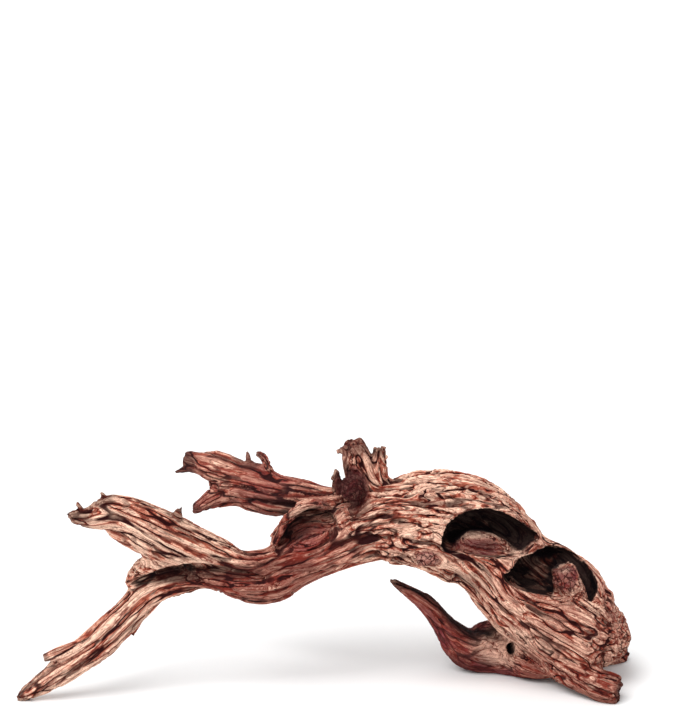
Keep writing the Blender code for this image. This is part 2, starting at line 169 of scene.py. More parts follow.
LEFT_ROOT = (
    (-53, 12, 50, 4, 5),
    (-67, 11, 47, 5.5, 6),
    (-76, 10, 41, 6.5, 6),
    (-83, 9, 34, 7, 6),
    (-89, 8, 28, 7.5, 6),
    (-96, 7, 22, 7.5, 5.5),
    (-102, 6, 18, 7, 5),
    (-109, 6, 13, 6, 4.5),
    (-116, 6, 8, 4.5, 3.6),
    (-122, 6, 3.5, 3.5, 3),
    (-127, 6, 0, 1.8, 2),
)
ROOT_FINGER = (
    (-95, 6, 26, 3.5, 3),
    (-102, 4, 23, 3.5, 3),
    (-109, 3, 21, 3, 2.5),
    (-115, 2, 19.5, 1.7, 1.6),
)
ROOT_SLIVER = (
    (-101, 8, 16, 3, 2.5),
    (-108, 8, 13, 2.5, 2),
    (-115, 8, 12, 1.6, 1.4),
)
LEFT_HORN = (
    (-34, 12, 55, 7, 6),
    (-46, 9, 61, 8.5, 6),
    (-57, 5, 67, 10.5, 5.5),
    (-67, 1, 73, 11, 5),
    (-78, -2, 80, 10, 5),
    (-87, -4, 83, 7.5, 4.5),
    (-93, -5, 81, 4.5, 4),
    (-98, -5, 82, 4, 3.2),
    (-102, -5, 81.5, 2.8, 2.5),
)
HORN_WEB = (
    (-62, 4, 64, 4.5, 4),
    (-71, 5, 59, 5, 4),
    (-77, 7, 53, 4, 3.5),
    (-80, 9, 48, 2.5, 3),
)
BACK_BRANCH = (
    (9, 28, 77, 6, 8),
    (-3, 32, 77, 7, 8),
    (-11, 36, 78, 7.5, 8),
    (-21, 40, 78, 9, 7),
    (-30, 44, 80, 10, 6.5),
    (-37, 46, 80, 8.5, 6),
    (-44, 48, 76, 5.5, 5),
    (-50, 50, 72, 4, 4),
    (-56, 51, 68, 2.2, 2.5),
)
BACK_PRONG = (
    (-31, 45, 83, 6.5, 5),
    (-39, 47, 85, 7, 5),
    (-46, 49, 87, 7, 5),
    (-52, 51, 88.5, 5.5, 4.5),
    (-57, 53, 89, 4.5, 3.5),
    (-59, 54, 89, 4, 3),
)
CROWN_STUB = (
    (19, 22, 76, 10.5, 12),
    (17, 22, 84, 8.5, 11),
    (15, 22, 91, 6.5, 9),
    (13.5, 22, 97, 6.5, 8),
    (12.5, 22, 102, 6, 7),
    (12, 22, 106, 3.6, 5),
)
CROWN_FINGER = (
    (24.5, 22, 85, 3.7, 5),
    (23, 22, 92, 3.3, 4),
    (22.5, 22, 98, 3.1, 3.5),
    (22.5, 22, 103, 2.2, 2.5),
)
CROWN_SPIKE = (
    (6.5, 17, 86, 3.3, 4),
    (5, 16, 91, 2.4, 3),
    (4.5, 15, 96, 0.8, 1),
)
SPUR = (
    (101, 36, 19, 14, 20),
    (91, 41, 12, 13, 20),
    (80, 44, 10, 12, 17),
    (71, 44, 9.5, 11, 14),
    (62, 42, 9.5, 8.5, 11),
    (56, 41, 14, 7, 9),
    (51, 40, 20, 5.5, 7),
    (46, 39, 27, 4.5, 5.5),
    (41, 38, 32, 4, 4.8),
    (36, 37, 36, 3.2, 4),
    (31, 36, 40, 2.3, 3),
    (27, 35, 43, 1.3, 1.8),
)
FRONT_STUB = (
    (95, 24, 11, 6.5, 8),
    (103, 16, 8, 6.5, 8),
    (110, 10, 6.5, 6.5, 7.5),
    (116, 6, 5.5, 6.8, 7),
    (121, 4, 4.5, 6, 6),
)
REAR_STUB = (
    (106, 42, 17, 9.5, 12),
    (116, 50, 9, 7, 10),
    (122, 55, 4, 5.5, 9),
    (125, 57, 2, 4.7, 8),
    (127.5, 58, 1.5, 4.3, 7),
)
EAR_WALL = (
    (2, 26, 74, 6, 4),
    (-8, 23, 72, 6, 4),
    (-16, 21, 68, 4.5, 4),
    (-22, 20, 64, 2, 3),
)
print("the trunk has", len(MAIN_TRUNK), "stations and the thin root", len(LEFT_ROOT))

# %% Stations of the small forms
EAR_LIP = (
    (2, 22, 77.5, 1.6, 4),
    (-3, 20, 80, 1.8, 5),
    (-8, 18, 80, 1.8, 5),
    (-12, 16, 78, 1.8, 4.5),
    (-16, 14, 74, 1.8, 4),
    (-18.5, 14, 69, 1.6, 4),
    (-21, 14, 64, 1.6, 4),
)
HORN_TIP = ((-96, -5, 82, 2.4, 2.4), (-98, -5, 85, 1.5, 1.8), (-99, -5, 88.5, 0.5, 0.6))
HORN_END = ((-98, -5, 81, 1.9, 2.0), (-101, -5, 82, 1.3, 1.5), (-104, -5, 83.5, 0.5, 0.6))
HORN_TEAR = ((-86, -4, 85, 3.0, 2.5), (-88, -4, 89, 1.6, 1.6), (-89.5, -4, 92, 0.5, 0.6))
HORN_THORN = ((-60, 0, 80, 3.0, 2.5), (-58.5, 0, 83, 1.6, 1.6), (-57, -1, 85.5, 0.5, 0.6))
ROOT_THORN = ((-77, 9, 33, 2.0, 2.0), (-78, 9, 29, 1.1, 1.2), (-78.5, 9, 26, 0.5, 0.5))
PRONG_TIP = ((-55.5, 53, 87, 2.5, 2.5), (-59.5, 54, 85, 1.5, 1.8), (-63.5, 54.5, 83.5, 0.5, 0.7))
BRANCH_SPIKE = ((-30.5, 46, 87, 2.2, 2.0), (-32, 46, 92, 1.2, 1.2), (-32.5, 46, 95.5, 0.5, 0.5))
CURLED_LIP = (
    (-19, 41, 82, 1.8, 2.2),
    (-22.5, 41, 87, 1.6, 3.0),
    (-24, 42, 91, 1.5, 3.2),
    (-26, 44, 94, 1.6, 2.6),
    (-28, 46, 94.5, 1.2, 1.8),
)
CROWN_EDGE = ((12, 20, 100, 3.0, 3.5), (8, 20, 103, 1.8, 2.4), (5, 20, 102, 0.7, 0.9))
TONGUE = (
    (78, 13, 58, 3, 4),
    (72, 12, 62, 5, 5),
    (64, 12, 65, 6, 5.5),
    (57.5, 12, 65.5, 5, 5),
    (53, 13, 62, 2, 3),
)
BROKEN_CHUNK = (
    (105, 17, 30, 6, 5),
    (103, 15, 38, 6.5, 6),
    (100.5, 13, 45, 6.5, 6.5),
    (98.5, 12, 51, 6, 6.5),
    (97.5, 12, 55, 5, 6),
)
FLAP = ((96, 13, 14.5, 4.0, 4.0), (101.5, 10, 12.5, 3.0, 3.0), (106, 7, 11.5, 1.0, 1.4))
SPUR_CURL = ((66, 34, 21, 2.6, 2.6), (62, 33, 23.5, 1.6, 2.0), (60.5, 33, 26.5, 1.0, 1.4))
print("lips, thorns, the tongue and the broken chunk")

# %% Stations of the hollows
UPPER_HOLLOW = (
    (49.5, 8, 66, 2, 8),
    (54, 6, 70.5, 7, 12),
    (61, 5, 72.5, 9, 15),
    (70, 5, 71.5, 9, 16),
    (79, 8, 69, 6.5, 14),
    (86, 11, 67.2, 2.8, 10),
    (91, 14, 65.8, 1.2, 6),
)
LOWER_HOLLOW = (
    (73, 8, 54.5, 2.5, 9),
    (80, 8, 55, 7, 15),
    (90, 10, 54, 8.5, 17),
    (99, 14, 52.5, 9.5, 18),
    (105.5, 17, 50, 8, 16),
    (108.5, 19, 45, 3.5, 11),
    (109, 20, 41, 2, 7),
)
EAR_HOLLOW = (
    (-17, 10, 66, 2, 5),
    (-11, 12, 71, 4, 7),
    (-4, 13, 74.5, 5, 7),
    (4, 15, 76, 3.7, 6),
)
LIP_GROOVE = (
    (-82, 4, 49.5, 1.3, 3),
    (-74, 3, 51.5, 2.6, 5.5),
    (-66, 2, 54.8, 2.8, 6.5),
    (-57, 2, 57, 2.6, 6.5),
    (-48, 2, 57.5, 2.1, 5.5),
    (-36, 3, 55.5, 1.4, 4.5),
    (-24, 4, 53, 0.9, 2.5),
)
print("four hollows")

# %% Round lumps and pits
# name: (centre, radii along X, Y and Z)
LUMPS = {
    "burl": ((11, 11, 89.5), (4.6, 4.6, 5.4)),
    "knot": ((41.5, 8, 61), (5.5, 5, 3.6)),
}
PITS = {
    "burl_recess": ((11, 7.5, 88), (6.2, 6.5, 9.5)),
    "knot_hole": ((78, 22, 14), (2.2, 12, 3.6)),
    "small_hole": ((73, 16, 28), (1.6, 8, 1.6)),
}
print(len(LUMPS), "lumps and", len(PITS), "pits")

# %% Which limbs join softly, which stay crisp, and where the forks are
# Each limb: its stations, the sides round it, the height of its ridges, the length of its torn end, and the
# number of its own grain.
BODY = {
    "main_trunk": (MAIN_TRUNK, 80, 1.6, 0.0, 1),
    "middle_limb": (MIDDLE_LIMB, 56, 1.0, 0.0, 2),
    "groove_back": (GROOVE_BACK, 24, 0.0, 0.0, 3),
    "left_root": (LEFT_ROOT, 40, 0.8, 0.0, 4),
    "left_horn": (LEFT_HORN, 48, 0.8, 2.0, 5),
    "horn_web": (HORN_WEB, 32, 0.4, 0.0, 6),
    "back_branch": (BACK_BRANCH, 48, 0.9, 2.0, 7),
    "back_prong": (BACK_PRONG, 40, 0.8, 2.0, 8),
    "crown_stub": (CROWN_STUB, 48, 0.8, 3.0, 9),
    "spur": (SPUR, 56, 0.7, 0.0, 10),
    "front_stub": (FRONT_STUB, 40, 0.8, 3.0, 11),
    "rear_stub": (REAR_STUB, 48, 0.9, 3.0, 12),
    "ear_wall": (EAR_WALL, 32, 0.4, 0.0, 13),
}
CRISP = {
    "root_finger": (ROOT_FINGER, 24, 0.4, 0.0, 14),
    "root_sliver": (ROOT_SLIVER, 20, 0.2, 0.0, 15),
    "crown_finger": (CROWN_FINGER, 24, 0.4, 1.5, 16),
    "crown_spike": (CROWN_SPIKE, 20, 0.2, 0.0, 17),
    "crown_edge": (CROWN_EDGE, 20, 0.2, 0.0, 18),
    "ear_lip": (EAR_LIP, 24, 0.2, 0.0, 19),
    "horn_tip": (HORN_TIP, 16, 0.0, 0.0, 20),
    "horn_end": (HORN_END, 16, 0.0, 0.0, 21),
    "horn_tear": (HORN_TEAR, 16, 0.0, 0.0, 22),
    "horn_thorn": (HORN_THORN, 16, 0.0, 0.0, 23),
    "root_thorn": (ROOT_THORN, 16, 0.0, 0.0, 24),
    "prong_tip": (PRONG_TIP, 16, 0.0, 0.0, 25),
    "branch_spike": (BRANCH_SPIKE, 16, 0.0, 0.0, 26),
    "curled_lip": (CURLED_LIP, 24, 0.2, 0.0, 27),
    "tongue": (TONGUE, 32, 0.5, 0.0, 28),
    "broken_chunk": (BROKEN_CHUNK, 32, 0.5, 2.0, 29),
    "flap": (FLAP, 20, 0.2, 0.0, 30),
    "spur_curl": (SPUR_CURL, 16, 0.0, 0.0, 31),
}
HOLLOWS = {
    "upper_hollow": (UPPER_HOLLOW, 40, 0.4, 0.0, 32),
    "lower_hollow": (LOWER_HOLLOW, 40, 0.4, 0.0, 33),
    "ear_hollow": (EAR_HOLLOW, 32, 0.4, 0.0, 34),
    "lip_groove": (LIP_GROOVE, 24, 0.0, 0.0, 35),
}
# Forks, in the order in which they are cut: a point in the cut, the way the limb leaves it, and how far the
# saw reaches from that point, which takes in the whole limb there and no other.
FORKS = {
    "left_horn": ((-54, 6, 58), (-0.27, 0.0, 0.96), 36),
    "left_root": ((-56, 12, 50), (-1.0, 0.0, -0.1), 20),
    "main_trunk": ((31, 21, 72), (1.0, 0.0, 0.1), 26),
    "crown_stub": ((14, 20, 86), (-0.2, -0.65, 0.7), 30),
    "back_branch": ((-10, 36, 79), (-0.9, 0.45, 0.0), 15),
    "back_prong": ((-43.5, 48, 87), (-0.67, 0.0, 0.74), 14),
    "spur": ((62, 42, 10), (-1.0, 0.0, 0.3), 18),
    "front_stub": ((107, 9, 9), (0.45, -0.5, -0.74), 20),
    "rear_stub": ((118, 52, 7), (0.9, 0.3, -0.3), 16),
}
# A point at the far end of each finished piece, by which the piece is known.
ENDS = {
    "main_trunk": (127, 30, 23),
    "middle_limb": (-23, 14, 40),
    "left_root": (-127, 6, 0),
    "left_horn": (-104, -5, 83),
    "back_branch": (-56, 51, 68),
    "back_prong": (-63, 54, 84),
    "crown_stub": (12, 22, 108),
    "spur": (27, 35, 43),
    "front_stub": (121, 3, 4),
    "rear_stub": (130, 58, 3),
}
print(len(BODY), "soft limbs,", len(CRISP), "crisp forms,", len(HOLLOWS), "hollows,", len(FORKS), "forks")

# %% [markdown]
# ## From stations to a limb
#
# A ring of points is made once with an operator and extruded from place to place along the curve, as a
# hose is drawn out. Each point stands a little in or out, by a noise that is long along the limb and short
# across it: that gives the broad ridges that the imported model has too. A torn end reaches further on some
# sides.

# %% A smooth curve through the stations
def between(before, start, end, after, share):
    """A point on the smooth curve from start to end, which heads for the stations before and after them."""
    return 0.5 * (
        2 * start
        + (end - before) * share
        + (2 * before - 5 * start + 4 * end - after) * share**2
        + (3 * start - before - 3 * end + after) * share**3
    )


def smooth_rings(stations, step):
    """(centre, half width, half depth, run) every step mm along a smooth curve through the stations."""
    rows = [(Vector(s[:3]), s[3], s[4]) for s in stations]
    rows = [rows[0], *rows, rows[-1]]
    rings = []
    run = 0.0
    for i in range(1, len(rows) - 2):
        four = rows[i - 1 : i + 3]
        length = (four[2][0] - four[1][0]).length
        count = max(1, round(length / step))
        last = i == len(rows) - 3
        for k in range(count + last):
            share = k / count
            centre, wide, deep = (between(*[row[n] for row in four], share) for n in range(3))
            rings.append((centre, wide, deep, run + length * share))
        run += length
    return rings


print("the trunk's curve has", len(smooth_rings(MAIN_TRUNK, RING_STEP)), "rings")

# %% Ridges and torn ends
# The slow swell under the ridges, and how sharp the ridges are and how deep they are set
SWELL_SPREAD = 0.45
SWELL_HEIGHT = 0.8
RIDGE_SHARPNESS = 3.0
RIDGE_SINK = 0.6
# How far apart in the noise two limbs are, and how far a torn end is raised and its middle sunk
NEXT_GRAIN = 7.0
NEXT_TEAR = 3.0
TEAR_RAISE = 0.25
TEAR_SINK = 0.5


def ridges(across, deepways, run, seed):
    """Rounded ridges with sharp crevices between them, which wander along the grain, from about -1 to 1."""
    place = Vector((across / RIDGE_WIDTH, deepways / RIDGE_WIDTH, run / RIDGE_LENGTH + NEXT_GRAIN * seed))
    swell = SWELL_HEIGHT * noise.noise(place * SWELL_SPREAD)
    return swell + RIDGE_SHARPNESS * abs(noise.noise(place)) - RIDGE_SINK


def tear(around, seed):
    """How far the torn end stands out at this side, from 0 to 1."""
    place = Vector((TEAR_SPIKES * math.cos(around), TEAR_SPIKES * math.sin(around), NEXT_TEAR * seed))
    return max(0.0, noise.noise(place) + TEAR_RAISE)


print("a ridge at one place stands", round(ridges(3.0, 4.0, 20.0, 1), 2))

# %% Objects, and rings of points
def put(name, shape):
    """Makes a bmesh an object of the scene."""
    mesh = bpy.data.meshes.new(name)
    shape.to_mesh(mesh)
    shape.free()
    made = bpy.data.objects.new(name, mesh)
    bpy.context.scene.collection.objects.link(made)
    return made


def close_end(shape, edges, sink):
    """Closes a ring of edges by drawing it in to one point, moved by sink."""
    inner = bmesh.ops.extrude_edge_only(shape, edges=edges)["geom"]
    corners = [g for g in inner if isinstance(g, bmesh.types.BMVert)]
    middle = sum((c.co for c in corners), Vector()) / len(corners)
    bmesh.ops.pointmerge(shape, verts=corners, merge_co=middle + sink)


def ways_at(rings, i):
    """The three ways at a ring: ahead along the limb, to its side and into its depth."""
    after = rings[min(i + 1, len(rings) - 1)][0]
    before = rings[max(i - 1, 0)][0]
    ahead = (after - before).normalized()
    side = ahead.cross(DEPTHWAYS).normalized()
    return ahead, side, side.cross(ahead)


print("a limb's rings stand", RING_STEP, "mm apart")

# %% Limbs and round lumps
def limb(name, stations, sides, ridge_height, torn, seed):
    """A limb: a ring of sides, extruded from station to station, with its two ends closed."""
    rings = smooth_rings(stations, RING_STEP)
    total = rings[-1][3]
    shape = bmesh.new()
    angle = shape.verts.layers.float.new("around")
    ring = bmesh.ops.create_circle(shape, segments=sides, radius=1.0)["verts"]
    for corner in ring:
        corner[angle] = math.atan2(corner.co.y, corner.co.x)
    edges = list(shape.edges)
    for i, (centre, wide, deep, run) in enumerate(rings):
        if i:
            grown = bmesh.ops.extrude_edge_only(shape, edges=edges)["geom"]
            ring = [g for g in grown if isinstance(g, bmesh.types.BMVert)]
            edges = [g for g in grown if isinstance(g, bmesh.types.BMEdge)]
        ahead, side, depth = ways_at(rings, i)
        near_end = max(0.0, 1.0 - (total - run) / torn) if torn else 0.0
        for corner in ring:
            around = corner[angle]
            turn = around + GRAIN_TWIST * run
            rise = ridge_height * ridges(wide * math.cos(turn), deep * math.sin(turn), run, seed)
            reach = side * math.cos(around) * (wide + rise) + depth * math.sin(around) * (deep + rise)
            corner.co = centre + reach + ahead * (torn * near_end * tear(around, seed))
    close_end(shape, edges, ahead * (-TEAR_SINK * torn))
    close_end(shape, [e for e in shape.edges if e.is_boundary], Vector())
    bmesh.ops.recalc_face_normals(shape, faces=shape.faces)
    return put(name, shape)


def round_lump(name, centre, radii):
    """A lump, or the cutter of a pit: a ball stretched to its three radii."""
    shape = bmesh.new()
    bmesh.ops.create_icosphere(shape, subdivisions=3, radius=1.0)
    bmesh.ops.scale(shape, vec=radii, verts=shape.verts)
    bmesh.ops.translate(shape, vec=centre, verts=shape.verts)
    return put(name, shape)


print("ready to make", len(BODY) + len(CRISP), "limbs and", len(LUMPS), "lumps")

# %% [markdown]
# ## One skin over all
#
# The limbs overlap where they join. A voxel remesh turns overlapping closed shapes into one closed skin,
# as if they were cast in one piece. The first skin is coarse and is smoothed, which rounds the forks as
# growing wood does. The hollows are cut from it. The small forms are added after that, so that they keep
# their edges, and a second, finer skin goes over the lot.

# %% Tools that change a whole mesh
def settle(made):
    """Makes the object's mesh what its modifiers show."""
    seen = made.evaluated_get(bpy.context.evaluated_depsgraph_get())
    made.data = bpy.data.meshes.new_from_object(seen)
    made.modifiers.clear()


def join(name, objects):
    """One object that holds the meshes of all."""
    shape = bmesh.new()
    for part in objects:
        shape.from_mesh(part.data)
        bpy.data.objects.remove(part)
    return put(name, shape)


def grow_together(made, voxel):
    """Turns overlapping closed shapes into one closed skin."""
    skin = made.modifiers.new("skin", "REMESH")
    skin.mode = "VOXEL"
    skin.voxel_size = voxel
    settle(made)


def ease(made, repeats):
    """Rounds off creases."""
    soft = made.modifiers.new("soft", "SMOOTH")
    soft.factor = 0.5
    soft.iterations = repeats
    settle(made)


def carve(made, cutters):
    """Cuts each cutter's shape away."""
    for cutter in cutters:
        cut = made.modifiers.new("cut", "BOOLEAN")
        cut.operation = "DIFFERENCE"
        cut.object = cutter
        settle(made)
        bpy.data.objects.remove(cutter)


print("ready to join, smooth and carve")

# %% The skin of the whole wood
wood = join("wood", [limb(name, *row) for name, row in BODY.items()])
grow_together(wood, COARSE)
ease(wood, FORK_SMOOTHING)
cutters = [limb(name, *row) for name, row in HOLLOWS.items()]
cutters += [round_lump(name, *row) for name, row in PITS.items()]
carve(wood, cutters)
crisp = [limb(name, *row) for name, row in CRISP.items()]
crisp += [round_lump(name, *row) for name, row in LUMPS.items()]
wood = join("wood", [wood, *crisp])
grow_together(wood, FINE)
ease(wood, SKIN_SMOOTHING)
print("the skin has", len(wood.data.polygons), "faces")

# %% The feet, cut flat at the floor
def rest_flat(shape):
    """Cuts the feet off flat at the floor."""
    everything = [*shape.verts, *shape.edges, *shape.faces]
    cut = bmesh.ops.bisect_plane(
        shape, geom=everything, dist=HAIR, plane_co=(0, 0, 0), plane_no=(0, 0, 1), clear_inner=True
    )["geom_cut"]
    bmesh.ops.holes_fill(shape, edges=[g for g in cut if isinstance(g, bmesh.types.BMEdge)], sides=0)


shape = bmesh.new()
shape.from_mesh(wood.data)
rest_flat(shape)
shape.to_mesh(wood.data)
shape.free()
skin = wood.data
print("lowest point at", round(min(v.co.z for v in skin.vertices), 3), "mm")

# %% [markdown]
# ## Which way the grain runs
#
# Wood fibres follow the limb that they feed. Where two limbs meet, the fibres of both blend, and round a
# hole or a knot they part and close again like water round a stone. To get that, a coarse grid of points
# is laid through the wood. At each point the directions of the near limbs are added up, with more weight
# for the nearer and thicker limb. They are added as products of the direction with itself, because a fibre
# has no front or back: two opposite arrows are the same fibre and mustn't cancel out.

# %% Every limb's curve, as points with a direction and a thickness
CURVE_STEP = 4.0
TINY = 1e-9
WITHOUT_GRAIN = ("main_trunk", "groove_back", "horn_web", "ear_wall")
SMALL_WITH_GRAIN = ("root_finger", "root_sliver", "crown_finger", "crown_spike", "ear_lip", "curled_lip")
SMALL_WITH_GRAIN += ("tongue", "broken_chunk", "prong_tip", "horn_tip", "horn_end")
# The trunk's station at its bend, where its top ends and its base begins
TRUNK_BEND = 6
GRAIN_ROWS = {"trunk_top": MAIN_TRUNK[: TRUNK_BEND + 1], "trunk_base": MAIN_TRUNK[TRUNK_BEND:]}
GRAIN_ROWS.update({name: row[0] for name, row in BODY.items() if name not in WITHOUT_GRAIN})
GRAIN_ROWS.update({name: CRISP[name][0] for name in SMALL_WITH_GRAIN})


def unit(rows):
    """Each row, scaled to a length of 1."""
    return rows / np.maximum(np.linalg.norm(rows, axis=1), TINY)[:, None]


def curve_points(stations):
    """The middles, directions and thicknesses of a limb at even steps."""
    rings = smooth_rings(stations, CURVE_STEP)
    middles = np.array([ring[0][:] for ring in rings])
    thick = np.array([0.5 * (ring[1] + ring[2]) for ring in rings])
    return middles, unit(np.gradient(middles, axis=0)), thick


CURVES = {name: curve_points(stations) for name, stations in GRAIN_ROWS.items()}
print(sum(len(c[0]) for c in CURVES.values()), "points on", len(CURVES), "curves")

# %% The grid
GRID = 3.0
MARGIN = 3 * GRID


def rows_of(items, field, columns=3, kind=float):
    """One field of all the items, with a row for each item."""
    rows = np.empty(len(items) * columns, dtype=kind)
    items.foreach_get(field, rows)
    return rows.reshape(-1, columns)


places = rows_of(skin.vertices, "co")
normals = rows_of(skin.vertex_normals, "vector")
grid_low = places.min(axis=0) - MARGIN
grid_count = np.ceil((places.max(axis=0) + MARGIN - grid_low) / GRID).astype(int) + 1
axes = [grid_low[k] + GRID * np.arange(grid_count[k]) for k in range(3)]
nodes = np.stack(np.meshgrid(*axes, indexing="ij"), axis=-1).reshape(-1, 3)
print("grid of", len(nodes), "points")

# %% How strongly each limb pulls at each grid point
# How flat a limb's pull is near its middle, and how fast it falls off further out
PULL_CORE = 0.35
PULL_FALL = 3


def pulls(points, curve):
    """How strongly each point of a curve pulls on each of the points, one row per point of the curve."""
    for middle, way, wide in zip(*curve):
        away = ((points - middle) ** 2).sum(axis=1) / wide**2
        yield way, 1.0 / (away + PULL_CORE) ** PULL_FALL


def products(way):
    """The six different products of a direction's three numbers."""
    x, y, z = way[..., 0], way[..., 1], way[..., 2]
    return np.stack([x * x, y * y, z * z, x * y, x * z, y * z], axis=-1)


spread = np.zeros((len(nodes), 6))
share_of = {}
for name, curve in CURVES.items():
    share_of[name] = np.zeros(len(nodes))
    for way, pull in pulls(nodes, curve):
        spread += pull[:, None] * products(way)
        share_of[name] += pull
print("the strongest pull is", round(max(share.max() for share in share_of.values()), 1))

# %% The strongest direction at each grid point
# Where each of the nine numbers of a symmetric 3 by 3 matrix stands among the six products
SIX_TO_NINE = [0, 3, 4, 3, 1, 5, 4, 5, 2]


def as_matrix(six):
    """The symmetric 3 by 3 matrices that the six products stand for."""
    return six[..., SIX_TO_NINE].reshape(*six.shape[:-1], 3, 3)


def strongest(six):
    """The direction that the six products hold most of."""
    return np.linalg.eigh(as_matrix(six))[1][..., 2]


way = strongest(spread)
print("first direction", np.round(way[0], 2))

# %% [markdown]
# ## Grain that parts round holes and knots
#
# Water that flows past a ball turns aside in a way that a short formula gives exactly. The same formula
# turns the grain aside round each hollow, burl and knot. A hollow is longer than it is high, so space is
# squeezed along its length first, the formula is used, and the direction is stretched back.

# %% Obstacles in the grain
# obstacle: (centre, radii along X, Y and Z)
OBSTACLES = {
    "upper hollow": ((70, 4, 73), (21, 14, 9)),
    "lower hollow": ((93, 10, 53), (20, 16, 11)),
    "burl": ((11, 9, 89), (7, 8, 8)),
    "ear's hollow": ((-8, 10, 71), (12, 9, 7)),
    "knot": ((41.5, 6, 61), (7, 6, 5)),
    "knot hole": ((78, 18, 14), (3.6, 10, 5)),
    "small hole": ((73, 14, 28), (2.6, 8, 2.6)),
    "eye in the middle limb": ((-18, 4, 52), (2.4, 4, 2.0)),
}


def turn_aside(points, way, centre, radii):
    """The directions of a flow past a ball that is stretched to the radii."""
    out = (points - centre) / radii
    flow = way / radii
    away = np.maximum(np.linalg.norm(out, axis=1), 1.0)[:, None]
    outward = unit(out)
    along = (flow * outward).sum(axis=1)[:, None]
    turned = (flow - (3 * along * outward - flow) / (2 * away**3)) * radii
    size = np.linalg.norm(turned, axis=1)[:, None]
    return np.where(size > TINY, unit(turned), way)


for centre, radii in OBSTACLES.values():
    way = turn_aside(nodes, way, np.array(centre, float), np.array(radii, float))
grain_grid = products(way).reshape(*grid_count, 6)
print("the grain parts round", len(OBSTACLES), "places")

# %% Reading a grid between its points
def eight_corners(part):
    """The corners of the box round each point, with each corner's weight at a place within the box."""
    for corner in itertools.product((0, 1), repeat=3):
        yield np.array(corner), np.prod(np.where(corner, part, 1.0 - part), axis=1)


def read_grid(grid, points):
    """The grid's value at each point, blended from the eight grid points round it."""
    spot = (points - grid_low) / GRID
    low = np.clip(np.floor(spot).astype(int), 0, grid_count - 2)
    flat = grid.reshape(-1, grid.shape[-1])
    steps = np.array([grid_count[1] * grid_count[2], grid_count[2], 1])
    blend = np.zeros((len(points), grid.shape[-1]))
    for corner, weight in eight_corners(np.clip(spot - low, 0.0, 1.0)):
        blend += weight[:, None] * flat[(low + corner) @ steps]
    return blend


print("the grain at one vertex", np.round(read_grid(grain_grid, places[:1])[0], 2))

# %% [markdown]
# ## Strands
#
# A strand keeps its height along the fibre and changes quickly across it. So each vertex takes a short
# walk along the grain, forwards and backwards, reads a noise at every step, and keeps the mean. Neighbours
# on one fibre walk through nearly the same places and get nearly the same mean. Neighbours across the
# fibre don't. Three widths of noise give broad ridges, strands and fibres.

# %% A cloud of random numbers, read smoothly
CLOUD_SIDE = 64
CLOUD_SEED = 20
cloud = np.random.default_rng(CLOUD_SEED).random((CLOUD_SIDE, CLOUD_SIDE, CLOUD_SIDE))


def cloud_at(points, width, offset):
    """Smooth noise from 0 to 1 whose lumps are about width mm wide."""
    spot = points / width + offset
    low = np.floor(spot).astype(int)
    part = spot - low
    part = part * part * (3.0 - 2.0 * part)
    value = np.zeros(len(points))
    for corner, weight in eight_corners(part):
        x, y, z = ((low + corner) % CLOUD_SIDE).T
        value += weight * cloud[x, y, z]
    return value


print("noise at one vertex", np.round(cloud_at(places[:1], 5.0, 0.0), 2))

# %% The walk along the grain
# The length of a step in mm, how often the noise is read on it, and where the noise starts
STEP = 2.0
READS_PER_STEP = 2
STRAND_OFFSET = 3.7
# width: (size of the noise in mm, how many steps each way)
WALKS = {"broad": (3.8, 20), "strand": (1.9, 15), "fibre": (1.1, 10)}
LONGEST_WALK = max(steps for _, steps in WALKS.values())


def along_grain(points, before):
    """The grain's direction at each point, on the same side as the direction before."""
    return unit(np.einsum("nij,nj->ni", as_matrix(read_grid(grain_grid, points)), before))


def levelled(values):
    """Moved and scaled to a mean of 0 and a usual size of 1."""
    return (values - values.mean()) / values.std()


start = strongest(read_grid(grain_grid, places))
sums = {name: cloud_at(places, width, STRAND_OFFSET) for name, (width, _) in WALKS.items()}
for heading in (start, -start):
    here = places.copy()
    for number in range(LONGEST_WALK):
        heading = along_grain(here, heading)
        for _ in range(READS_PER_STEP):
            here = here + heading * STEP / READS_PER_STEP
            for name, (width, steps) in WALKS.items():
                if number < steps:
                    sums[name] += cloud_at(here, width, STRAND_OFFSET)
broad, strand, fibre = (levelled(total) for total in sums.values())
print("walked", 2 * LONGEST_WALK, "steps for", len(places), "vertices")

# %% [markdown]
# ## Where light and wear reach
#
# Dirt gathers in the hollows and shade falls there, and the finish paints both in: the darkening is partly
# dirt and partly painted shade. The edges that stand out are worn pale. Both can be measured on a coarse
# copy of the skin. From each of its points a fan of rays is sent out: the fewer that get away, the more
# painted shade the place gets. An edge stands out where a point lies further out than the mean of the points
# round it.

# %% How open each place is, on a coarse copy
# How far a ray looks in mm, how far above the skin it starts, and how near to the skin it may run
REACH = 45.0
LIFT = 0.6
GRAZING = 0.15

ball = bmesh.new()
bmesh.ops.create_icosphere(ball, subdivisions=2, radius=1.0)
RAYS = [v.co.copy() for v in ball.verts]
ball.free()
measure = join("measure", [bpy.data.objects.new("copy", skin.copy())])
grow_together(measure, MEASURING)
coarse = bmesh.new()
coarse.from_mesh(measure.data)
tree = BVHTree.FromBMesh(coarse)
coarse.free()


def openness(place, normal):
    """The share of the rays from a place that get away."""
    outward = [ray for ray in RAYS if ray.dot(normal) > GRAZING]
    start = place + normal * LIFT
    weight = sum(ray.dot(normal) for ray in outward)
    return sum(ray.dot(normal) for ray in outward if tree.ray_cast(start, ray, REACH)[0] is None) / weight


coarse_places = [v.co.copy() for v in measure.data.vertices]
coarse_open = [openness(v.co, n.vector) for v, n in zip(measure.data.vertices, measure.data.vertex_normals)]
bpy.data.objects.remove(measure)
print("openness from", round(min(coarse_open), 2), "to", round(max(coarse_open), 2))

# %% The measures, carried over to the fine skin
OPENNESS_ROUNDS = 6
MEAN_ROUNDS = 40

